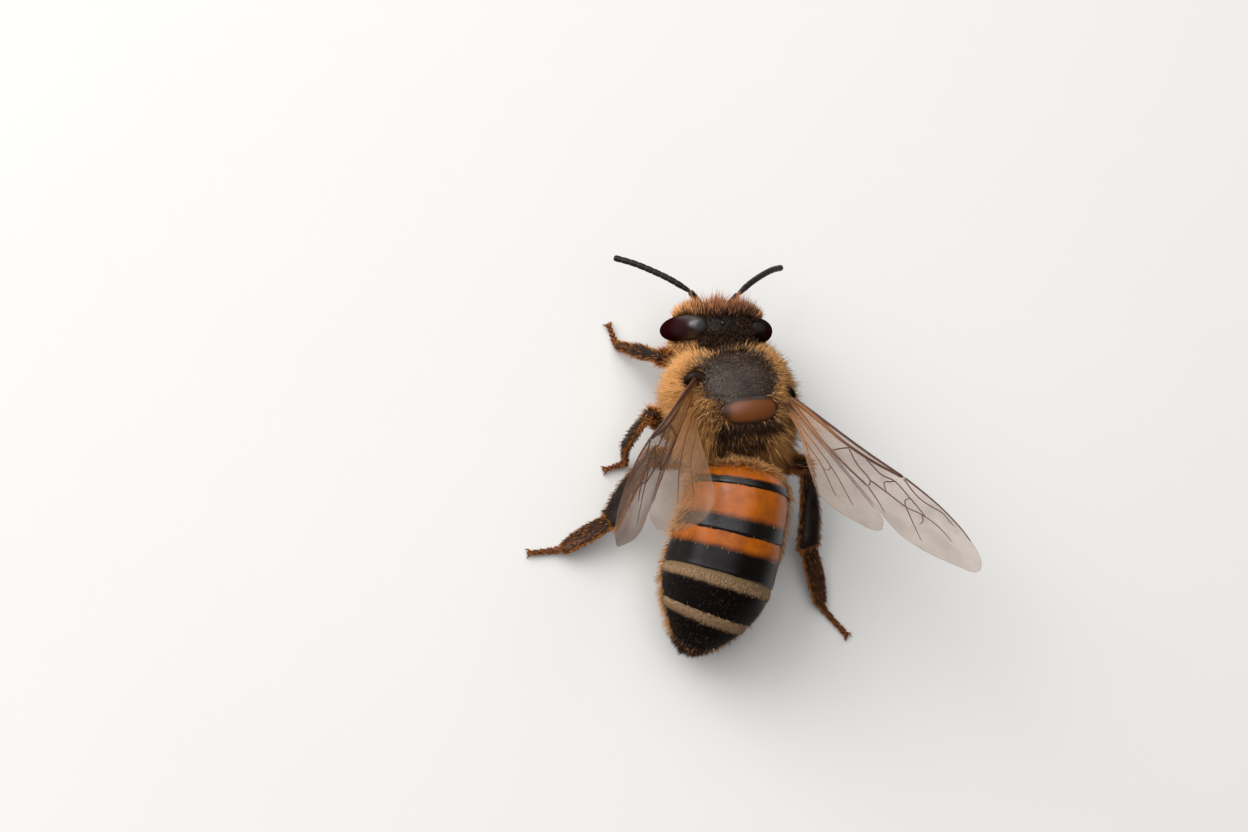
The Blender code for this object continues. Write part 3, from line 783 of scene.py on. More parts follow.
def cheekMark(share, turn):
    # where the head's skin is hidden under tan hair
    x, y, z = headPoint(share, turn) - headAt
    crown = ease(z, 1.0, 1.3) * ease(y, -0.5, -0.3)
    clypeus = ease(1.0 - shieldRadius(x, z), -0.1, 0.1) * ease(-y, 0.0, 0.2)
    cheek = ease(abs(x), 0.9, 1.15) * ease(y, 0.0, 0.15) * ease(z, -0.3, 0.2)
    return max(0.0, 1.0 - crown - clypeus - cheek)


headFinish = Finish("headShell", Specular_IOR_Level=0.4)
relief = headFinish.noise(30.0)
headFinish.finish(
    Base_Color=headFinish.mix(headFinish.mark("coated"), (0.008, 0.005, 0.005), (0.11, 0.05, 0.02)),
    Roughness=relief * 0.2 + 0.32, Normal=headFinish.bump(relief, 0.012))
headShape = ball(144, 112, headPoint, {"coated": cheekMark})
skinHead = addPiece("head_skin", headShape, headFinish, ["head"])

eyeFinish = Finish(
    "eyeBlack", Roughness=0.4, Specular_IOR_Level=0.0, Coat_Roughness=0.4, Coat_IOR=2.15)
facets = eyeFinish.node("ShaderNodeTexVoronoi", {"feature": "F1"}, {
    "Vector": eyeFinish.place(), "Scale": 30.0}, output="Distance")
edge = eyeFinish.step(eyeFinish.mark("rim"), 0.35, 0.9)
eyeFinish.finish(
    Base_Color=eyeFinish.mix(edge, (0.013, 0.0015, 0.0015), (0.004, 0.001, 0.001)),
    Coat_Weight=eyeFinish.mark("crown"),
    Normal=eyeFinish.bump(facets, 0.0015, 0.35))
for name, side in sides.items():
    centre = fromFrame(boxCentre(f"eye_{name}")) + head["eyeShift"]
    lean = Matrix.Rotation(radians(side * head["eyeYaw"]), 3, "Z")
    lean @= Matrix.Rotation(radians(-side * head["eyeLean"]), 3, "Y")
    lean @= Matrix.Rotation(radians(-head["eyeTilt"]), 3, "X")

    def eyePlace(share, turn):
        unit = onBall(share, turn)
        up, around = unit.z, unit.xy.length
        power = 2.4 + 0.7 * max(0.0, up)
        full = (abs(up) ** power + around ** power) ** (-1 / power)
        waist = 1.0 - 0.05 * hump(up, 0.1, 0.3) * max(0.0, -side * unit.x)
        return centre + lean @ (unit * head["eyeRadii"] * waist * full)

    def eyeCrown(share, turn):
        # the glossy part, high up and towards the crown
        unit = onBall(share, turn)
        inward = 1.0 - 0.93 * ease(side * unit.x, 0.1, 0.75)
        return ease(unit.z, -0.15, 0.5) * inward * head["gloss"][name]

    lens = ball(72, 64, eyePlace, {
        "rim": lambda share, turn: 1.0 - max(0.0, side * onBall(share, turn).x),
        "crown": eyeCrown,
    })
    addPiece(f"eye_{name}_lens", lens, eyeFinish, [f"eye_{name}"])

ocelli = joined([
    ellipsoid(headAt + Vector(place), (0.12, 0.12, 0.12), Matrix.Identity(3), 24, 16)
    for place in ((0.0, -0.36, 1.36), (0.27, -0.06, 1.44), (-0.27, -0.06, 1.44))
])
ocelliFinish = shellFinish(
    "ocelliGlass", (0.006, 0.004, 0.004), (0.015, 0.008, 0.006), 0.28, relief=0.0005, coat=0.1)
addPiece("ocelli", ocelli, ocelliFinish)
print("head and eyes")

jaws = {
    "hinge": Vector((0.62, -0.36, -1.08)),
    "bend": Vector((0.5, -0.6, -1.45)),
    "tip": Vector((0.1, -0.6, -1.8)),
}
lipFinish = shellFinish("lipBrown", (0.01, 0.004, 0.003), (0.035, 0.013, 0.006), 0.36, coat=0.0)
labrum = ellipsoid(
    headAt + Vector((0.0, -0.56, -1.36)), (0.4, 0.13, 0.24), Matrix.Rotation(0.25, 3, "X"), 36, 24,
    shape=lambda unit: 1.0 - 0.12 * hump(unit.x, 0.0, 0.15) * max(0.0, -unit.z))
addPiece("labrum_plate", labrum, lipFinish)
for name, side in sides.items():
    mirror = Vector((side, 1.0, 1.0))
    path = [headAt + jaws[key] * mirror for key in ("hinge", "bend", "tip")]
    blade = rod(
        path, lambda share, turn: (0.2 - 0.05 * hump(share, 0.45, 0.2) + 0.04 * share, 0.1),
        Vector((0.0, -1.0, 0.2)), 24, 32, 0.2)
    addPiece(f"mandible_{name}_blade", blade, lipFinish, [f"mandible_{name}"])

tongue = {"root": Vector((0.0, -0.2, -1.42)), "end": Vector((0.0, 0.58, -1.52))}
tongue["middle"] = (tongue["root"] + tongue["end"]) / 2
blades = []
for shift, width in ((-0.1, 0.1), (0.1, 0.1), (0.0, 0.055)):
    aside = Vector((shift, 0.0, -0.05 if shift == 0.0 else 0.0))
    path = [
        headAt + tongue[key] + aside * spread
        for key, spread in (("root", 1.0), ("middle", 0.9), ("end", 0.4))
    ]
    blades.append(rod(
        path, lambda share, turn: (width * (1 - 0.5 * share), width * 0.7 * (1 - 0.4 * share)),
        upright, 14, 24, 0.2))
addPiece("tongue_folded", joined(blades), amberShell, ["proboscis"])

feelers = {
    # socket, elbow and tip
    "left": ((1.0, -3.0, 2.62), (1.83, -3.56, 3.29), (4.42, -4.74, 2.6)),
    "right": ((0.42, -3.0, 2.62), (0.02, -3.56, 3.28), (-2.1, -4.86, 1.95)),
    "bow": {"left": 0.14, "right": 0.2},
    "rings": 10,
    "radius": 0.112,
}
feelerFinish = Finish("feelerBlack", Roughness=0.36, Specular_IOR_Level=0.18)
fuzz = feelerFinish.noise(60.0, 2.0)
jointTint = feelerFinish.step(feelerFinish.mark("joint"), 0.3, 0.9)
feelerFinish.finish(
    Base_Color=feelerFinish.mix(jointTint, (0.011, 0.008, 0.008), (0.09, 0.05, 0.03)),
    Normal=feelerFinish.bump(fuzz, 0.004))
for name in sides:
    socket, elbow, tip = [Vector(point) for point in feelers[name]]
    scape = rod(
        [socket, (socket + elbow) / 2 + 0.03 * upright, elbow],
        lambda share, turn: 0.105 - 0.035 * hump(share, 0.04, 0.05) + 0.01 * share,
        upright, 20, 30, 0.08, {"joint": lambda share, turn: hump(share, 1.0, 0.05)})
    addPiece(f"scape_{name}_stem", scape, feelerFinish, [f"scape_{name}"])
    bow = feelers["bow"][name] * Vector((0.0, -0.8, 0.6))
    middle = (elbow + tip) / 2 + bow
    path = [
        elbow, elbow.lerp(middle, 0.5) + 0.3 * bow, middle, middle.lerp(tip, 0.5) + 0.3 * bow, tip]
    rings = feelers["rings"]

    def ringGroove(share):
        # 1 in the groove between two rings
        phase = (share * rings) % 1.0
        return hump(min(phase, 1.0 - phase), 0.0, 0.07) if 0.04 < share < 0.97 else 0.0

    def flagellumSize(share, turn):
        base = 0.7 + 0.3 * ease(share, 0.0, 0.16)
        return feelers["radius"] * base * (1.0 - 0.16 * ringGroove(share))

    flagellum = rod(path, flagellumSize, upright, 20, 200, 0.03, {
        "joint": lambda share, turn: max(0.6 * ringGroove(share), hump(share, 0.0, 0.03))})
    addPiece(
        f"flagellum_{name}_rings", flagellum, feelerFinish, [f"flagellum_{name}"])
print("mouth and feelers")


def headZones(spots):
    local = spots["place"] - np.array(headAt)
    zones = {name: region(local, ranges) for name, ranges in head["zones"].items()}
    zones["cheek"] = zones["cheek"] * (1 - zones["crown"])
    return local, zones


def headKeep(spots):
    local, zones = headZones(spots)
    eyes = 0.9 * zones["behindEye"]
    for side in sides.values():
        gaps = (local - np.array(head["lensAt"]) * (side, 1, 1)) / head["lensReach"]
        eyes = eyes + 1 - stepRows(np.linalg.norm(gaps, axis=1), 0.85, 1.0)
    shield = (local[:, 0] / 0.68) ** 2 + ((local[:, 2] + 0.82) / 0.56) ** 2
    shield = (1 - stepRows(shield, 0.8, 1.15)) * (local[:, 1] < 0)
    thick = 1 - 0.3 * zones["brow"] - 0.1 * zones["crown"] + 0.8 * zones["thick"]
    return np.clip(thick - 2 * eyes - 0.8 * zones["mouth"], 0.0, 2) * (1 - 0.9 * shield)


def stemShare(places):
    # 1 along each feeler's stem, looked at from above
    slant = np.array([[0.317, 0.148]])
    share = np.zeros(len(places))
    for name in sides:
        socket, elbow = [np.array(point) for point in feelers[name][:2]]
        start = socket[:2] - socket[2] * slant[0]
        run = elbow[:2] - elbow[2] * slant[0] - start
        gap = places[:, :2] - places[:, 2:] * slant - start
        part = np.clip(gap @ run / (run @ run), 0.25, 1.0)
        away = np.linalg.norm(gap - part[:, None] * run, axis=1)
        share = np.maximum(share, 1 - stepRows(away, 0.09, 0.24))
    return share


chance = np.random.default_rng(12)
spots = scatter(skinHead, head["hairs"], headKeep, chance)
normals = spots["normal"]
local, zones = headZones(spots)
x, y, z = local.T
brow, crown, beside, nape = [zones[name] for name in ("brow", "crown", "beside", "nape")]
wild = chance.normal(0, 1, (2, len(local), 3))
lean = sway(spots["place"], 3.4, 9)
brow3 = brow[:, None]
fan = np.stack([x * stepRows(z, 0.6, 1.0), 0 * x, 0 * x], 1)
low = stepRows(-z, -0.5, 0.2)[:, None]
leave = normals + upward * (0.3 - 0.3 * low) + 0.22 * wild[0] + 0.25 * lean
arrive = normals * 0.6 + upward * (0.35 - 0.3 * low + 0.3 * brow3) + 0.3 * brow3 * fan
arrive += (0.5 * crown - 0.75 * brow - 0.8 * beside)[:, None] * rearward
arrive += 0.28 * wild[1] + (0.4 - 0.2 * brow3) * lean
lengths = head["hairLength"] * chance.uniform(0.5, 1.1, len(local))
lengths *= 1 + 0.4 * brow * chance.uniform(-0.3, 1.6, len(local)) - 0.5 * crown
lengths *= 1 - 0.45 * brow * stepRows(-x, 0.7, 1.15)
short = region(local, {"y": (0.0, -0.3), "wide": (0.45, 0.8), "z": (0.9, 0.5)})
face = (y < 0) * (1 - brow) * stepRows(-z, -0.2, 0.3)
lengths *= (1 - 0.55 * short * (1 - beside)) * (1 - 0.4 * face * (1 - beside))
lengths *= (1 - 0.3 * stepRows(-z, 0.2, 0.8)) * (1 - 0.3 * nape) * (1 - 0.1 * beside)
lengths *= 1 - 0.65 * stemShare(spots["place"])
# the nape's brown hairs are partly dark hair and partly painted shade in the gap before the thorax
darkness = 0.25 + 0.85 * crown + 0.05 * brow - 0.3 * zones["cheek"] + 0.75 * nape
# the brow is painted darker towards the bee's right, its shaded side
darkness += 0.3 * brow * np.clip(-x, -1, 1) - 0.6 * stepRows(-z, -0.1, 0.5)
spots.update(leave=leave, arrive=arrive, length=lengths, darkness=darkness)
headUnwrap = roundUnwrap(headAt, Matrix.Rotation(radians(90), 3, "X"), 1.7)
# fewer rusty hairs on the left end of the brow: painted light on its lit side
rusty = chance.random(len(local)) < 0.25 + 0.75 * brow * (1 - 0.55 * stepRows(x, 0.5, 1.0))
for label, chosen, kind in (("coat", ~rusty, "tanHair"), ("fringe", rusty, "rustHair")):
    coatPieces(
        f"head_{label}", pick(spots, chosen), head["hairWidth"], headUnwrap, chance, kind, 0.28)
print("head coat")


abdomen = {
    "axis": (Vector((-0.22, 2.42, 2.95)), Vector((0.28, 6.25, 2.75)), Vector((1.38, 8.98, 1.3))),
    "plates": (0.0, 0.133, 0.343, 0.555, 0.75, 0.908, 1.0),  # where each begins
    "forward": (0.0, 0.02, 0.014, 0.04, 0.022, 0.0, 0.0),  # by how much on the back
    "girth": [
        (0.0, 0.5), (0.03, 1.3), (0.07, 1.68), (0.12, 1.84), (0.31, 1.95), (0.48, 2.03),
        (0.58, 2.02), (0.68, 1.86), (0.78, 1.53), (0.87, 1.12), (0.95, 0.6), (1.0, 0.2),
    ],
    "height": 0.95,
    "belly": 0.84,
    "coatDepth": 0.05,
    "tuck": 0.035,  # of each plate under the one before
    "lip": 0.012,
    "capEnd": 0.08,  # share of a plate's net where its front cap ends
    "rimStart": 0.9,  # and where its rear rim begins
    "orange": (0.38, 0.09, 0.004),
    "amber": (0.26, 0.085, 0.014),
    "black": (0.0035, 0.0018, 0.0016),
    "underDown": (0.14, 0.09, 0.045),
    "bands": [
        # share of the axis, darkness from here on
        (0.0, 0.0), (0.088, 0.0), (0.1, 1.0), (0.134, 1.0), (0.136, 0.0), (0.255, 0.0),
        (0.285, 1.0), (0.344, 1.0), (0.346, 0.0), (0.405, 0.0), (0.44, 1.0), (1.0, 1.0),
    ],
    "paleBands": ((0.555, 0.614), (0.75, 0.793)),  # covered with pale down
    "hairs": (4420, 1820, 1560, 1690, 1560, 1950),  # on each plate
    "downHairs": {3: 13000, 4: 8500},
    "hairWidth": {"open": 0.0075, "pale": 0.008},
}


def abdomenFrame(share):
    first, middle, last = abdomen["axis"]
    rest = 1.0 - share
    centre = rest * rest * first + 2 * rest * share * middle + share * share * last
    heading = (rest * (middle - first) + share * (last - middle)).normalized()
    across = heading.cross(upright).normalized()
    return centre, across, across.cross(heading)


def abdomenPoint(share, turn, scale=1.0):
    side = sin(turn)
    shift = float(np.interp(share, abdomen["plates"], abdomen["forward"]))
    share = max(0.0, share - shift * max(0.0, side) ** 0.8)
    centre, across, up = abdomenFrame(share)
    radius = max(0.02, between(abdomen["girth"], share) - abdomen["coatDepth"]) * scale
    lift = abdomen["height"] if side > 0 else abdomen["belly"]
    # the back plates overhang the belly plates along a fold low on each side
    fold = 0.03 * hump(side, -0.5, 0.09) - 0.012 * hump(side, -0.38, 0.07)
    radius *= 1.0 - fold - 0.03 * ease(-side, 0.5, 0.6)
    return centre + radius * (across * cos(turn) + up * side * lift)


def bandedFinish(name, gloss):
    shell = Finish(name, Specular_IOR_Level=gloss)
    alongAxis = shell.mark("along") + (shell.noise(2.2) - 0.5) * 0.02
    darkBand = shell.node("ShaderNodeValToRGB", {
        "stops": [(place, (dark,) * 3) for place, dark in abdomen["bands"]]}, {"Fac": alongAxis})
    cloud = shell.step(shell.noise(1.3, 4.0), 0.35, 0.7)
    orange = shell.mix(cloud, abdomen["orange"], [0.62 * value for value in abdomen["orange"]])
    lower = shell.step(shell.mark("below"), 0.45, 0.6)
    orange = shell.mix(lower, orange, abdomen["amber"])
    colour = shell.mix(darkBand, orange, abdomen["black"])
    for begin, end in abdomen["paleBands"]:
        inside = shell.step(alongAxis, begin - 0.004, begin + 0.002)
        inside = inside - inside * shell.step(alongAxis, end - 0.012, end + 0.008)
        colour = shell.mix(inside, colour, abdomen["underDown"])
    waves = shell.bump(shell.noise(3.0, 2.0, (1.0, 6.0, 1.0)), 0.02, 0.4)
    return shell.finish(
        Base_Color=colour,
        Roughness=shell.noise(7.0) * 0.14 + 0.17 + 0.3 * shell.step(alongAxis, 0.6, 0.7),
        Normal=shell.bump(shell.noise(40.0, 2.0), 0.005, under=waves))


plateFinishes = [bandedFinish(name, gloss) for name, gloss in (
    ("abdomenFront", 0.32), ("abdomenMiddle", 0.16), ("abdomenLow", 0.05), ("abdomenRear", 0.02))]

plates = []
starts = abdomen["plates"]
capEnd, rimStart = abdomen["capEnd"], abdomen["rimStart"]
for index, (begin, end) in enumerate(zip(starts, starts[1:]), start=1):
    last = index == len(starts) - 1
    front = begin - abdomen["tuck"] if index > 1 else 0.0
    outside = (1.0 if last else rimStart) - capEnd

    def platePlace(share, turn):
        # a cap, the outer surface, a thick rim and a cap again
        if share < capEnd:
            return abdomenPoint(front, turn, 0.93 * share / capEnd)
        if share <= rimStart or last:
            part = (share - capEnd) / outside
            along = front + (end - front) * part
            shown = ease(along, begin - 0.02, begin + 0.03) if index > 1 else 1.0
            lip = abdomen["lip"] * hump(along, end - 0.006, 0.016) if not last else 0.0
            scale = 0.968 + 0.032 * shown + 0.6 * lip
            if last:
                scale *= sqrt(max(0.0, 1.0 - part ** 6))
            return abdomenPoint(along, turn, scale)
        inner = (share - rimStart) / (1.0 - rimStart)
        scale = (1.0 + 0.6 * abdomen["lip"] - 0.03) * (1 - inner)
        return abdomenPoint(end - 0.01 * inner, turn, scale)

    plate = ball(96, 44, platePlace, {
        "along": lambda share, turn: (
            front + (end - front) * min(1.0, max(0.0, (share - capEnd) / outside))),
        "below": lambda share, turn: max(0.0, -sin(turn)),
    })
    plates.append(addPiece(
        f"abdomen_plate_{index}", plate, plateFinishes[max(0, min(3, index - 2))],
        [f"abdomen_{index}"]))
print("abdomen")


def bandShare(along, begin, end, soft):
    return stepRows(along, begin - soft, begin + soft) * stepRows(along, end + soft, end - soft)


def abdomenZones(spots):
    # how strongly each kind of coat grows at a spot
    along = spots["along"]
    height = spots["normal"][:, 2]
    flank = stepRows(height, 0.12, -0.2)
    pale = sum(
        bandShare(along, begin - 0.005, end - 0.002, 0.01) for begin, end in abdomen["paleBands"])
    margin = stepRows(height, 0.5, 0.25) * stepRows(along, 0.45, 0.3)
    base = np.maximum(stepRows(along, 0.075, 0.03), 0.75 * margin)
    return along, flank, pale, base, stepRows(along, 0.9, 0.94)


chance = np.random.default_rng(13)
coats = {"open": [], "pale": []}
for index, (piece, begin, end) in enumerate(zip(plates, starts, starts[1:])):

    def plateKeep(spots, down=False):
        along, flank, pale, base, tip = abdomenZones(spots)
        thick = (0.13 + 2.4 * base + 0.9 * tip + 0.5 * flank) * (1 - 0.9 * pale * (1 - flank))
        return (along > begin) * (along < end - 0.004) * (pale if down else thick)

    coats["open"].append(scatter(piece, abdomen["hairs"][index], plateKeep, chance))
    if index in abdomen["downHairs"]:
        coats["pale"].append(scatter(
            piece, abdomen["downHairs"][index], lambda spots: plateKeep(spots, True), chance))
ends = [np.array(point) for point in abdomen["axis"]]
abdomenUnwrap = roundUnwrap(Vector((0.3, 5.7, 2.6)), Matrix.Identity(3), 3.6)
for label, parts in coats.items():
    spots = {name: np.concatenate([part[name] for part in parts]) for name in parts[0]}
    normals = spots["normal"]
    along, flank, pale, base, tip = abdomenZones(spots)
    heading = (1 - along)[:, None] * (ends[1] - ends[0]) + along[:, None] * (ends[2] - ends[1])
    heading = unitRows(heading)
    wild = chance.normal(0, 1, (2, len(along), 3))
    lean = sway(spots["place"], 3.0, 17)
    if label == "open":
        kind, guard = "paleHair", 0.14
        stand = (0.35 + 0.9 * flank + 0.9 * base + 0.3 * tip)[:, None]
        lengths = 0.12 + 0.2 * flank * (1 - base) * (1 - 0.6 * tip) + 0.32 * base + 0.04 * tip
        darkness = 0.05 + 0.945 * stepRows(along, 0.43, 0.45) - 0.9 * flank * (1 - tip) - 0.1 * tip
    else:
        kind, guard = "strawHair", 0.03
        stand = np.full((len(along), 1), 0.3)
        lean = 0.35 * lean
        fading = sum(
            bandShare(along, end - 0.012, end + 0.02, 0.008) for _, end in abdomen["paleBands"])
        lengths = 0.13 - 0.055 * fading
        darkness = 0.04 + 0.3 * fading
    spots.update(
        leave=normals * stand + heading * 0.75 + 0.13 * wild[0] + 0.1 * lean,
        arrive=normals * (stand - 0.2) + heading + 0.12 * wild[1] + 0.16 * lean,
        length=lengths * chance.uniform(0.6, 1.15, len(along)), darkness=darkness)
    half = chance.random(len(along)) < 0.5
    for side, chosen in (("a", half), ("b", ~half)):
        coatPieces(
            f"abdomen_{label}_coat_{side}", pick(spots, chosen), abdomen["hairWidth"][label],
            abdomenUnwrap, chance, kind, guard)
print("abdomen coat")


wings = {
    # root, then degrees: sweep from straight back, rise of the tip, rear edge up, hind wing's fold
    "left": (wingRoots["left"], 42.4, 38.8, -46.8, 65.0),
    "right": (wingRoots["right"], 51.0, 12.0, 37.0, 0.0),
    "fold": ((0.4, 0.5), (6.0, 2.72)),
    "thickness": 0.014,
    "grid": (120, 36),
    "waviness": 0.035,
    "foreFront": [
        (0.0, -0.1), (1.6, -0.12), (3.3, -0.3), (5.2, -0.42), (6.8, -0.36), (7.8, -0.13),
        (8.7, 0.36), (9.12, 0.8), (9.24, 1.2),
    ],
    "foreRear": [
        (0.0, 0.18), (0.5, 0.3), (1.5, 0.63), (3.4, 1.42), (5.0, 2.16), (6.1, 2.58), (6.6, 2.58),
        (7.4, 2.34), (8.6, 1.88), (9.1, 1.55), (9.24, 1.2),
    ],
    "hindFront": [(0.45, 0.42), (1.5, 0.67), (3.4, 1.45), (5.0, 2.19), (5.5, 2.52), (5.66, 2.98)],
    "hindRear": [
        (0.45, 0.72), (1.1, 1.18), (1.9, 2.08), (2.8, 3.36), (3.2, 3.66), (3.6, 3.82), (4.3, 3.82),
        (5.0, 3.58), (5.5, 3.24), (5.66, 2.98),
    ],
}


def wingFrames(name):
    root, *turns = wings[name]
    side = sides[name]
    sweep, rise, turnUp, fold = [radians(value) for value in turns]
    level = cos(rise)
    along = Vector((side * sin(sweep) * level, cos(sweep) * level, sin(rise)))
    inward = Vector((-side * cos(sweep), sin(sweep), 0.0))
    upward = along.cross(inward) * side
    rear = inward * cos(turnUp) + upward * sin(turnUp)
    placed = Matrix((along, rear, along.cross(rear))).transposed().to_4x4()
    placed.translation = Vector(root)
    first, last = [Vector((*point, 0.0)) for point in wings["fold"]]
    hinge = Matrix.Translation(first) @ Matrix.Rotation(side * fold, 4, last - first)
    return placed, placed @ hinge @ Matrix.Translation(-first)


def wingHeight(p, q):
    # a fore wing is pleated along its veins and arched a little from front to rear
    pleat = wings["waviness"] * sin(4.2 * (q - 0.28 * p) + 0.6) * ease(p, 0.2, 1.6)
    return pleat * (1 - 0.5 * ease(p, 6.5, 9.0)) - 0.012 * (q - 0.9) ** 2


def membrane(front, rear, placed):
    start, end = front[0][0], front[-1][0]
    across, down = wings["grid"]
    bm = bmesh.new()
    bmesh.ops.create_grid(bm, x_segments=across, y_segments=down, size=1.0)
    reach = bm.verts.layers.float.new("reach")
    for vert in bm.verts:
        share = (1 - cos(pi * (vert.co.x + 1) / 2)) / 2
        p = start + (end - start) * share
        low, high = between(front, p), between(rear, p)
        q = low + (high - low) * (vert.co.y + 1) / 2
        vert.co = (p, q, wingHeight(p, q))
        vert[reach] = p
    bmesh.ops.remove_doubles(bm, verts=bm.verts, dist=1e-3)
    bmesh.ops.dissolve_degenerate(bm, edges=bm.edges, dist=1e-3)
    bm.normal_update()
    bmesh.ops.recalc_face_normals(bm, faces=bm.faces)
    bmesh.ops.solidify(bm, geom=bm.faces[:], thickness=wings["thickness"])
    bm.transform(placed)
    return bm


filmFinish = Finish("wingFilm", Specular_IOR_Level=0.5, Coat_Weight=0.2, Coat_Roughness=0.15)
smoky = filmFinish.step(filmFinish.noise(0.7), 0.3, 0.75)
fine = filmFinish.noise(14.0)
glance = filmFinish.node("ShaderNodeLayerWeight", {}, {"Blend": 0.5}, "Facing")
ripple = filmFinish.bump(filmFinish.noise(2.4, 2.0), 0.03, 0.5)
nearRoot = 1 - filmFinish.step(filmFinish.mark("reach"), 0.4, 3.0)
membraneTint = filmFinish.mix(smoky, (0.36, 0.22, 0.13), (0.22, 0.12, 0.065))
filmFinish.finish(
    Base_Color=filmFinish.mix(nearRoot, membraneTint, (0.36, 0.15, 0.035)),
    Alpha=0.15 + smoky * 0.1 + fine * 0.06 + nearRoot * 0.22 + glance * glance * 0.3,
    Roughness=fine * 0.1 + 0.2, Normal=filmFinish.bump(fine, 0.01, 0.3, ripple))
filmFinish.material.surface_render_method = "BLENDED"

veinFinish = Finish("wingVein", Specular_IOR_Level=0.45)
veinTone = veinFinish.step(veinFinish.mark("thin"), 0.0, 1.0)
grain = veinFinish.noise(20.0, 2.0)
veinFinish.finish(
    Base_Color=veinFinish.mix(veinTone, (0.2, 0.07, 0.014), (0.06, 0.018, 0.01)),
    Roughness=grain * 0.2 + 0.3, Normal=veinFinish.bump(grain, 0.004))

foreVeins = [
    # radius at the start, radius at the end, then the points the vein runs through
    (0.07, 0.045, ((0.02, -0.06), (1.6, -0.1), (3.3, -0.27), (5.2, -0.39))),
    (0.045, 0.02, ((5.2, -0.39), (6.8, -0.33), (7.8, -0.1), (8.4, 0.2))),
    (0.075, 0.05, (
        (0.1, 0.02), (0.9, -0.03), (1.7, 0.06), (2.5, 0.16), (3.2, 0.12), (4.5, -0.2),
        (5.2, -0.34))),
    (0.03, 0.022, ((3.7, 0.08), (4.5, 0.26), (5.0, 0.06), (5.8, 0.3), (6.65, 0.63))),
    (0.03, 0.016, (
        (5.2, -0.32), (5.9, -0.02), (6.4, 0.02), (7.05, -0.1), (7.25, -0.02), (7.6, 0.1))),
    (0.065, 0.035, ((0.2, 0.12), (1.35, 0.5), (2.1, 0.82), (2.7, 0.98), (3.4, 1.16), (4.4, 1.34))),
    (0.03, 0.014, ((4.4, 1.34), (5.0, 1.7), (5.4, 2.05))),
    (0.03, 0.024, ((2.6, 0.96), (2.8, 0.6), (3.1, 0.16))),
    (0.03, 0.024, ((3.05, 0.3), (3.6, 0.72), (4.3, 1.0), (4.4, 1.34))),
    (0.03, 0.016, ((4.3, 1.0), (5.0, 1.0), (5.83, 0.98), (6.45, 0.67), (7.13, 0.62), (7.9, 0.86))),
    (0.026, 0.013, ((5.85, 0.98), (6.3, 1.42), (7.0, 2.0))),
    (0.026, 0.02, ((5.0, 0.08), (4.75, 0.6), (5.0, 1.0))),
    (0.026, 0.02, ((5.83, 0.98), (5.7, 0.6), (5.8, 0.3))),
    (0.024, 0.018, ((6.45, 0.67), (6.62, 0.95), (6.6, 1.3))),
    (0.04, 0.012, ((0.25, 0.24), (1.5, 0.6), (3.4, 1.39), (5.0, 2.12))),
]
hindVeins = [
    (0.03, 0.012, ((0.5, 0.52), (1.5, 0.76), (3.4, 1.53), (5.0, 2.27))),
    (0.035, 0.014, ((0.55, 0.68), (2.0, 1.36), (3.3, 2.1), (4.4, 2.9))),
    (0.03, 0.012, ((0.6, 0.7), (1.5, 1.45), (2.2, 2.2), (2.8, 3.0))),
    (0.028, 0.012, ((1.7, 1.6), (2.7, 2.15), (3.7, 3.1))),
    (0.02, 0.014, ((2.9, 1.86), (2.95, 2.1), (2.75, 2.2))),
]


def veinPieces(veins, placed):
    pieces = []
    for thick, thin, points in veins:
        flat = smoothPath([(p, q, 0.0) for p, q in points])

        def path(share):
            point, heading = flat(share)
            ahead = point + heading * 0.05
            low, high = [Vector((p, q, wingHeight(p, q))) for p, q in (point.xy, ahead.xy)]
            return placed @ low, placed.to_3x3() @ (high - low).normalized()

        def size(share, turn):
            radius = thick + (thin - thick) * share
            radius *= 1 + 0.5 * (1 - ease(flat(share)[0].x, 0.4, 2.4))  # stout at the root
            return radius, 0.8 * radius

        def thinness(share, turn):
            # how dark a vein is: all along the front edge, and elsewhere away from the root
            return 1.0 if points[0][1] < 0 else ease(flat(share)[0].x, 0.8, 4.2)
        pieces.append(rod(
            path, size, placed.to_3x3() @ upright, 8, 40, 0.02, {"thin": thinness}))
    return joined(pieces)


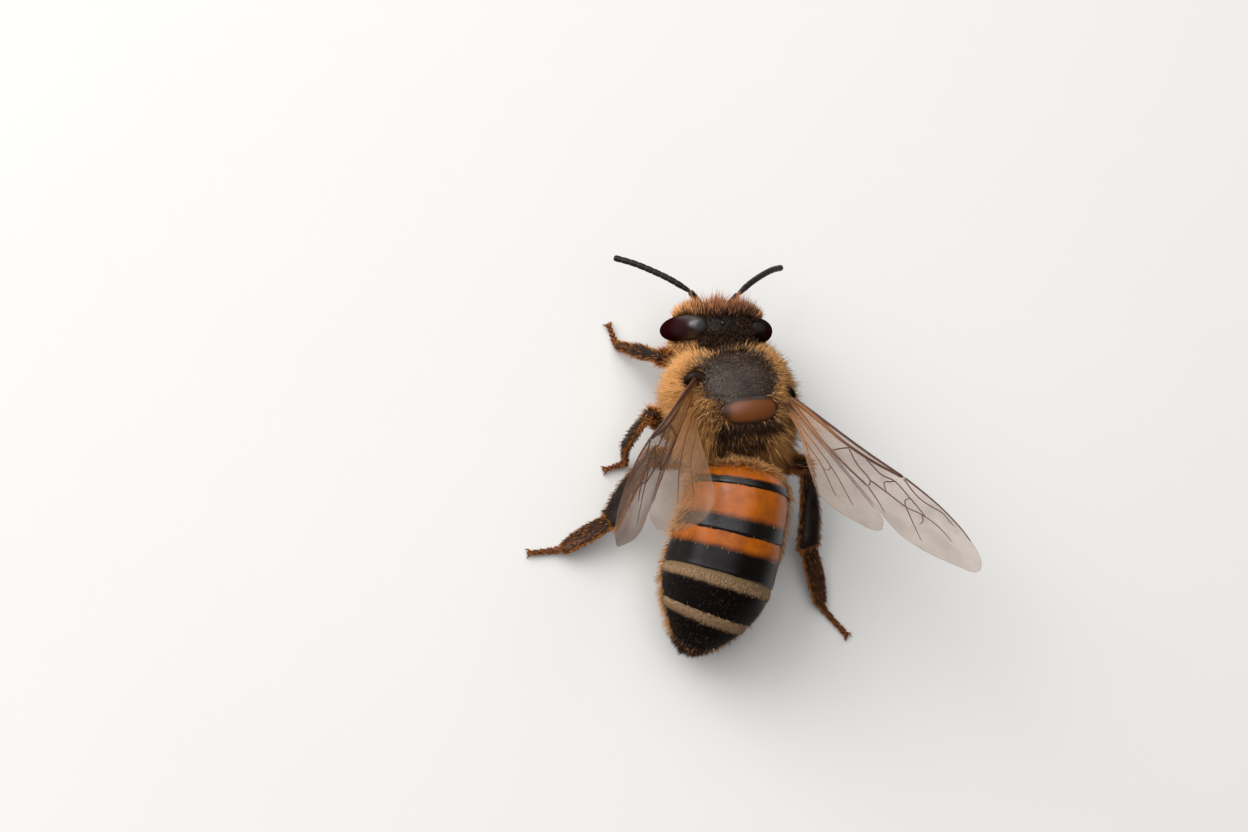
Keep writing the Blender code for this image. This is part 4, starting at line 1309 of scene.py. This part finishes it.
tegula = {
    # from the wing's root: the line of the hood, then each knob's place and radii
    "hood": (
        (0.42, 0.36, -0.06), (0.36, 0.06, 0.08), (0.12, -0.06, 0.2), (-0.14, 0.1, 0.28),
        (-0.34, 0.42, 0.22)),
    "knobs": (
        ((0.1, 0.06, 0.16), (0.15, 0.13, 0.14)), ((-0.02, 0.18, 0.16), (0.3, 0.26, 0.12)),
        ((-0.34, 0.5, 0.16), (0.11, 0.14, 0.1)), ((0.16, 0.3, 0.06), (0.09, 0.2, 0.08))),
}
tegulaFinish = shellFinish(
    "tegulaBrown", (0.004, 0.002, 0.002), (0.018, 0.006, 0.003), 0.22, 8.0, coat=0.0, gloss=0.06)
for name, side in sides.items():
    forePlaced, hindPlaced = wingFrames(name)
    fore = membrane(wings["foreFront"], wings["foreRear"], forePlaced)
    hind = membrane(wings["hindFront"], wings["hindRear"], hindPlaced)
    addPiece(f"forewing_{name}_film", fore, filmFinish, [f"forewing_{name}"])
    addPiece(f"hindwing_{name}_film", hind, filmFinish, [f"hindwing_{name}"])
    veins = joined([veinPieces(foreVeins, forePlaced), veinPieces(hindVeins, hindPlaced)])
    addPiece(f"wing_{name}_veins", veins, veinFinish)

    root = Vector(wings[name][0])
    mirror = Vector((side, 1.0, 1.0))
    lean = Matrix.Rotation(radians(side * 30.0), 3, "Y")
    scale = joined([
        rod([root + Vector(point) * mirror for point in tegula["hood"]], lambda share, turn: (
            0.11 + 0.07 * hump(share, 0.5, 0.25), 0.08 + 0.03 * hump(share, 0.45, 0.25)),
            Vector((side * 0.5, -0.2, 0.85)), 20, 40, 0.16),
        *[ellipsoid(root + Vector(point) * mirror, radii, lean, 24, 16)
            for point, radii in tegula["knobs"]]])
    addPiece(f"tegula_{name}_scale", scale, tegulaFinish, [f"tegula_{name}"])
print("wings")


legs = {
    # hip, trochanter, knee, ankle, heel and toe, and how the flat side faces
    "front_left": (
        ((0.75, -0.95, 1.75), (1.3, -1.45, 1.35), (2.6, -1.3, 2.3), (3.16, -1.76, 1.0),
         (3.53, -2.0, 0.3), (3.83, -2.75, 0.12)), (0.8, -0.3, 0.5)),
    "front_right": (
        ((-0.2, -0.95, 1.75), (-0.6, -1.5, 1.35), (-1.45, -1.55, 2.2), (-1.25, -2.35, 0.95),
         (-1.05, -2.8, 0.3), (-0.8, -3.4, 0.12)), (-0.8, -0.3, 0.5)),
    "middle_left": (
        ((0.95, 0.95, 1.5), (1.55, 1.3, 1.3), (3.18, 0.76, 2.9), (3.52, 1.7, 1.25),
         (3.25, 2.2, 0.3), (3.95, 2.45, 0.12)), (0.9, -0.3, 0.2)),
    "middle_right": (
        ((-0.6, 0.6, 1.5), (-1.2, 0.6, 1.3), (-2.2, -0.2, 2.45), (-2.35, 0.2, 0.85),
         (-2.65, 0.85, 0.3), (-3.15, 1.55, 0.12)), (-0.9, -0.3, 0.2)),
    "hind_left": (
        ((0.75, 1.75, 1.75), (1.35, 2.15, 1.4), (3.12, 2.32, 2.6), (3.98, 4.36, 0.78),
         (5.58, 5.36, 0.3), (6.8, 5.52, 0.12)), (0.62, -0.4, 0.66)),
    "hind_right": (
        ((-0.55, 1.65, 1.75), (-1.2, 1.9, 1.4), (-2.84, 2.35, 2.4), (-3.42, 5.05, 0.92),
         (-4.1, 7.04, 0.34), (-5.25, 8.2, 0.12)), (-0.25, 0.0, 0.97)),
}
legSizes = {
    # half widths at the near end, the middle and the far end, and the half thickness
    "slim": {
        "coxa": ((0.3, 0.34, 0.24), 0.27), "femur": ((0.15, 0.27, 0.16), 0.2),
        "tibia": ((0.13, 0.2, 0.2), 0.15), "basitarsus": ((0.13, 0.17, 0.13), 0.1),
    },
    "hind": {
        "coxa": ((0.34, 0.36, 0.26), 0.3), "femur": ((0.16, 0.3, 0.2), 0.22),
        "tibia": ((0.15, 0.38, 0.46), 0.13), "basitarsus": ((0.3, 0.34, 0.24), 0.13),
    },
}
foot = {
    "stops": (0.0, 0.22, 0.44, 0.64, 0.86),  # share of the foot where each ring begins
    "widths": (0.135, 0.125, 0.115, 0.105),
    "height": 0.13,
    # ahead, aside and up from the wrist, in turn along each claw and along the pad
    "claw": ((0.0, 0.0, 0.0), (0.13, 0.1, 0.03), (0.24, 0.17, -0.1)),
    "pad": ((0.0, 0.0, 0.0), (0.1, 0.0, 0.0), (0.2, 0.0, -0.06)),
}
legFinish = Finish("legShell", Specular_IOR_Level=0.13)
down = legFinish.mark("down") + (legFinish.noise(2.0) - 0.5) * 0.5
cloudy = legFinish.step(legFinish.noise(1.5), 0.35, 0.7)
legDark = legFinish.mix(cloudy, (0.006, 0.003, 0.002), (0.02, 0.009, 0.005))
legFinish.finish(
    Base_Color=legFinish.mix(legFinish.step(down, 2.9, 4.3), legDark, (0.085, 0.026, 0.008)),
    Roughness=legFinish.noise(8.0) * 0.2 + 0.22,
    Normal=legFinish.bump(legFinish.noise(30.0, 2.0), 0.006))


def segmentRod(first, last, widths, thickness, facing, index, bow=0.0, hollow=0.0, rings=36):
    run = (last - first).normalized()
    outward = (facing - facing.dot(run) * run).normalized()
    table = list(zip((0.0, 0.5, 1.0), widths))

    def size(share, turn):
        sunk = hump(turn, pi / 2, 0.75) * ease(share, 0.2, 0.5) * ease(1 - share, 0.02, 0.1)
        return between(table, share), thickness * (1.0 - hollow * sunk)
    blunt = min(0.45, max(widths[0], thickness) / (last - first).length)
    return rod(
        [first, (first + last) / 2 + bow * outward, last], size, facing, 28, rings, blunt,
        {"down": lambda share, turn: index + share})


def footPieces(heel, toe):
    pieces = []
    stops = [heel.lerp(toe, share) for share in foot["stops"]]
    for stop in stops[1:]:
        stop.z = foot["height"]
    for first, last, width in zip(stops, stops[1:], foot["widths"]):
        over = (last - first) * 0.08
        widths = (0.6 * width, 0.9 * width, 1.05 * width)
        pieces.append(segmentRod(
            first - over, last + over, widths, 0.8 * width, upright, 4.4, rings=16))
    heading = (toe - heel).normalized()
    heading.z = 0.0
    aside = Vector((-heading.y, heading.x, 0.0))

    def fromWrist(points, sign):
        return [
            stops[-1] + ahead * heading + sign * out * aside + up * upright
            for ahead, out, up in points
        ]
    for sign in (1, -1):
        pieces.append(rod(
            fromWrist(foot["claw"], sign), lambda share, turn: 0.042 * (1 - 0.85 * share),
            upright, 10, 16, 0.1, {"down": lambda share, turn: 4.6 - 1.2 * share}))
    pieces.append(rod(
        fromWrist(foot["pad"], 1), lambda share, turn: (0.075, 0.035), upright, 12, 12, 0.3,
        {"down": lambda share, turn: 4.8}))
    return pieces


legPieces = {}
for name, (stops, facing) in legs.items():
    stops = [Vector(stop) for stop in stops]
    hip, trochanter, knee, ankle, heel, toe = stops
    facing = Vector(facing)
    kind = "hind" if "hind" in name else "slim"
    pieces = []
    for index, (part, (widths, thickness)) in enumerate(legSizes[kind].items()):
        first, last = stops[index], stops[index + 1]
        over = (last - first).normalized() * 0.06
        broad = kind == "hind" and part == "tibia"
        pieces.append(segmentRod(
            first - over, last + over, widths, thickness, facing, index,
            bow=0.14 if broad else 0.04, hollow=0.8 if broad else 0.0))
    pieces.append(segmentRod(
        trochanter.lerp(hip, 0.12), trochanter.lerp(knee, 0.16), (0.16, 0.19, 0.17), 0.18, facing,
        0.5, rings=14))
    for sign in (1, -1) if kind == "slim" else ():
        # spurs at the end of the shin
        aside = facing.cross(ankle - knee).normalized() * 0.1 * sign
        spur = [
            ankle + out * aside + (heel - ankle) * share
            for out, share in ((1.0, 0.0), (1.3, 0.12), (1.7, 0.25))
        ]
        pieces.append(rod(
            spur, lambda share, turn: 0.03 * (1 - 0.8 * share), facing, 8, 10, 0.1,
            {"down": lambda share, turn: 3.6}))
    pieces += footPieces(heel, toe)
    solids = [f"{part}_{name}" for part in (*legSizes[kind], "tarsus")]
    legPieces[name] = addPiece(f"leg_{name}", joined(pieces), legFinish, solids)
print("legs")

legHair = {
    "counts": {"slim": 5200, "hind": 9000},
    # hair length and how thickly it grows on hip, thigh, shin, heel part and foot
    "length": [
        (0.0, 0.34), (1.0, 0.4), (1.8, 0.34), (2.2, 0.2), (3.0, 0.2), (4.0, 0.13), (5.0, 0.08)],
    "thickness": [(0.0, 1.0), (1.0, 0.9), (2.0, 1.0), (3.0, 1.5), (4.0, 1.6), (5.0, 0.8)],
    "width": 0.0085,
    "goldHip": {"slim": 0.25, "hind": 0.75},  # share of hairs that turn gold on hip and thigh
}
for name, piece in legPieces.items():
    kind = "hind" if "hind" in name else "slim"
    stops = np.array(legs[name][0])
    flat = unitRows(np.array([legs[name][1]]))[0]
    headings = unitRows(stops[1:] - stops[:-1])
    chance = np.random.default_rng(len(name))

    def edgeShare(spots):
        return stepRows(1 - np.abs(spots["normal"] @ flat), 0.25, 0.7)

    def legKeep(spots):
        edge = edgeShare(spots)
        thick = np.interp(spots["down"], *zip(*legHair["thickness"]))
        smooth = (kind == "hind") * bandShare(spots["down"], 2.25, 2.97, 0.04) * (1 - edge)
        smooth = smooth * (spots["normal"] @ flat > 0)
        return thick * (1 - 0.97 * smooth) * (0.6 + 1.9 * edge) * (spots["place"][:, 2] > 0.12)

    spots = scatter(piece, legHair["counts"][kind], legKeep, chance)
    down, normals = spots["down"], spots["normal"]
    heading = headings[np.clip(down.astype(int), 0, 4)]
    wild = chance.normal(0, 1, (2, len(down), 3))
    edge = edgeShare(spots)
    arrive = normals * 0.45 + heading + 0.22 * wild[1]
    lengths = np.interp(down, *zip(*legHair["length"])) * chance.uniform(0.55, 1.15, len(down))
    if kind == "hind":
        lengths *= 1 + 0.35 * edge * bandShare(down, 2.0, 3.0, 0.1)
    clear = np.maximum(spots["place"][:, 2] - 0.03, 0.02)  # to the floor
    darkness = 0.92 - (0.7 + 0.12 * (down > 2.95)) * edge - 0.12 * stepRows(down, 2.9, 3.2)
    darkness -= 0.25 * stepRows(down, 3.9, 4.1)
    darkness -= legHair["goldHip"][kind] * stepRows(down, 2.2, 1.6)
    spots.update(
        leave=normals * 0.8 + heading * 0.7 + 0.22 * wild[0], arrive=arrive, darkness=darkness,
        length=np.minimum(lengths, clear / np.maximum(-unitRows(arrive)[:, 2], 0.15)))
    legUnwrap = roundUnwrap(Vector(stops[2]), Matrix.Identity(3), 4.0)
    coatPieces(f"leg_coat_{name}", spots, legHair["width"], legUnwrap, chance, "goldHair", 0.3)
print("leg coats")


stage = {
    "floor": (0.66, 0.65, 0.63),
    "world": 0.17,
    "aim": Vector((3.752, 0.728, 1.70)),
    "distance": 122.03,
    "back": Vector((0.29954, 0.13968, 0.94380)),  # from the aim to the camera
    "hint": Vector((0.042, -0.990, 0.134)),  # upwards in the view
    "lens": 100.0,
    "lights": {
        # direction from the bee, distance and size in millimetres, watts
        "skyPanel": (Vector((0.47, -0.4, 0.8)), 250, (520, 420), 1.5),
        "keyPanel": (Vector((0.75, -0.5, 0.6)), 260, (170, 170), 0.5),
    },
}
floorFinish = Finish("floorPale", Roughness=0.8, Specular_IOR_Level=0.2)
mottle = floorFinish.noise(0.06)
floorFinish.finish(
    Base_Color=floorFinish.mix(mottle, stage["floor"], [0.97 * value for value in stage["floor"]]))
bm = bmesh.new()
bmesh.ops.create_grid(bm, x_segments=1, y_segments=1, size=2.0)
mesh = bpy.data.meshes.new("floor")
bm.to_mesh(mesh)
bm.free()
mesh.materials.append(floorFinish.material)
linked("floor", mesh)

world = bpy.data.worlds.new("studio")
world.use_nodes = True
background = world.node_tree.nodes["Background"].inputs
background["Color"].default_value = (0.9, 0.92, 0.96, 1.0)
background["Strength"].default_value = stage["world"]
bpy.context.scene.world = world
bpy.context.scene.view_settings.view_transform = "Standard"


def aimed(place, target, hint):
    back = (place - target).normalized()
    right = hint.cross(back).normalized()
    turned = Matrix((right, back.cross(right), back)).transposed().to_4x4()
    turned.translation = place
    return turned


aim = toFrame @ stage["aim"]
for name, (towards, distance, size, watts) in stage["lights"].items():
    data = bpy.data.lights.new(name, "AREA")
    data.shape = "RECTANGLE"
    data.size, data.size_y = [value * mm for value in size]
    data.energy = watts
    lamp = linked(name, data)
    lamp.matrix_world = aimed(aim + towards.normalized() * distance * mm, aim, stage["hint"])

cameraData = bpy.data.cameras.new("camera")
cameraData.lens = stage["lens"]
cameraData.sensor_width = 36.0
cameraData.clip_start = 0.001
cameraData.clip_end = 10.0
camera = linked("camera", cameraData)
back = stage["back"].normalized()
camera.matrix_world = aimed(aim + back * stage["distance"] * mm, aim, stage["hint"])
bpy.context.scene.camera = camera
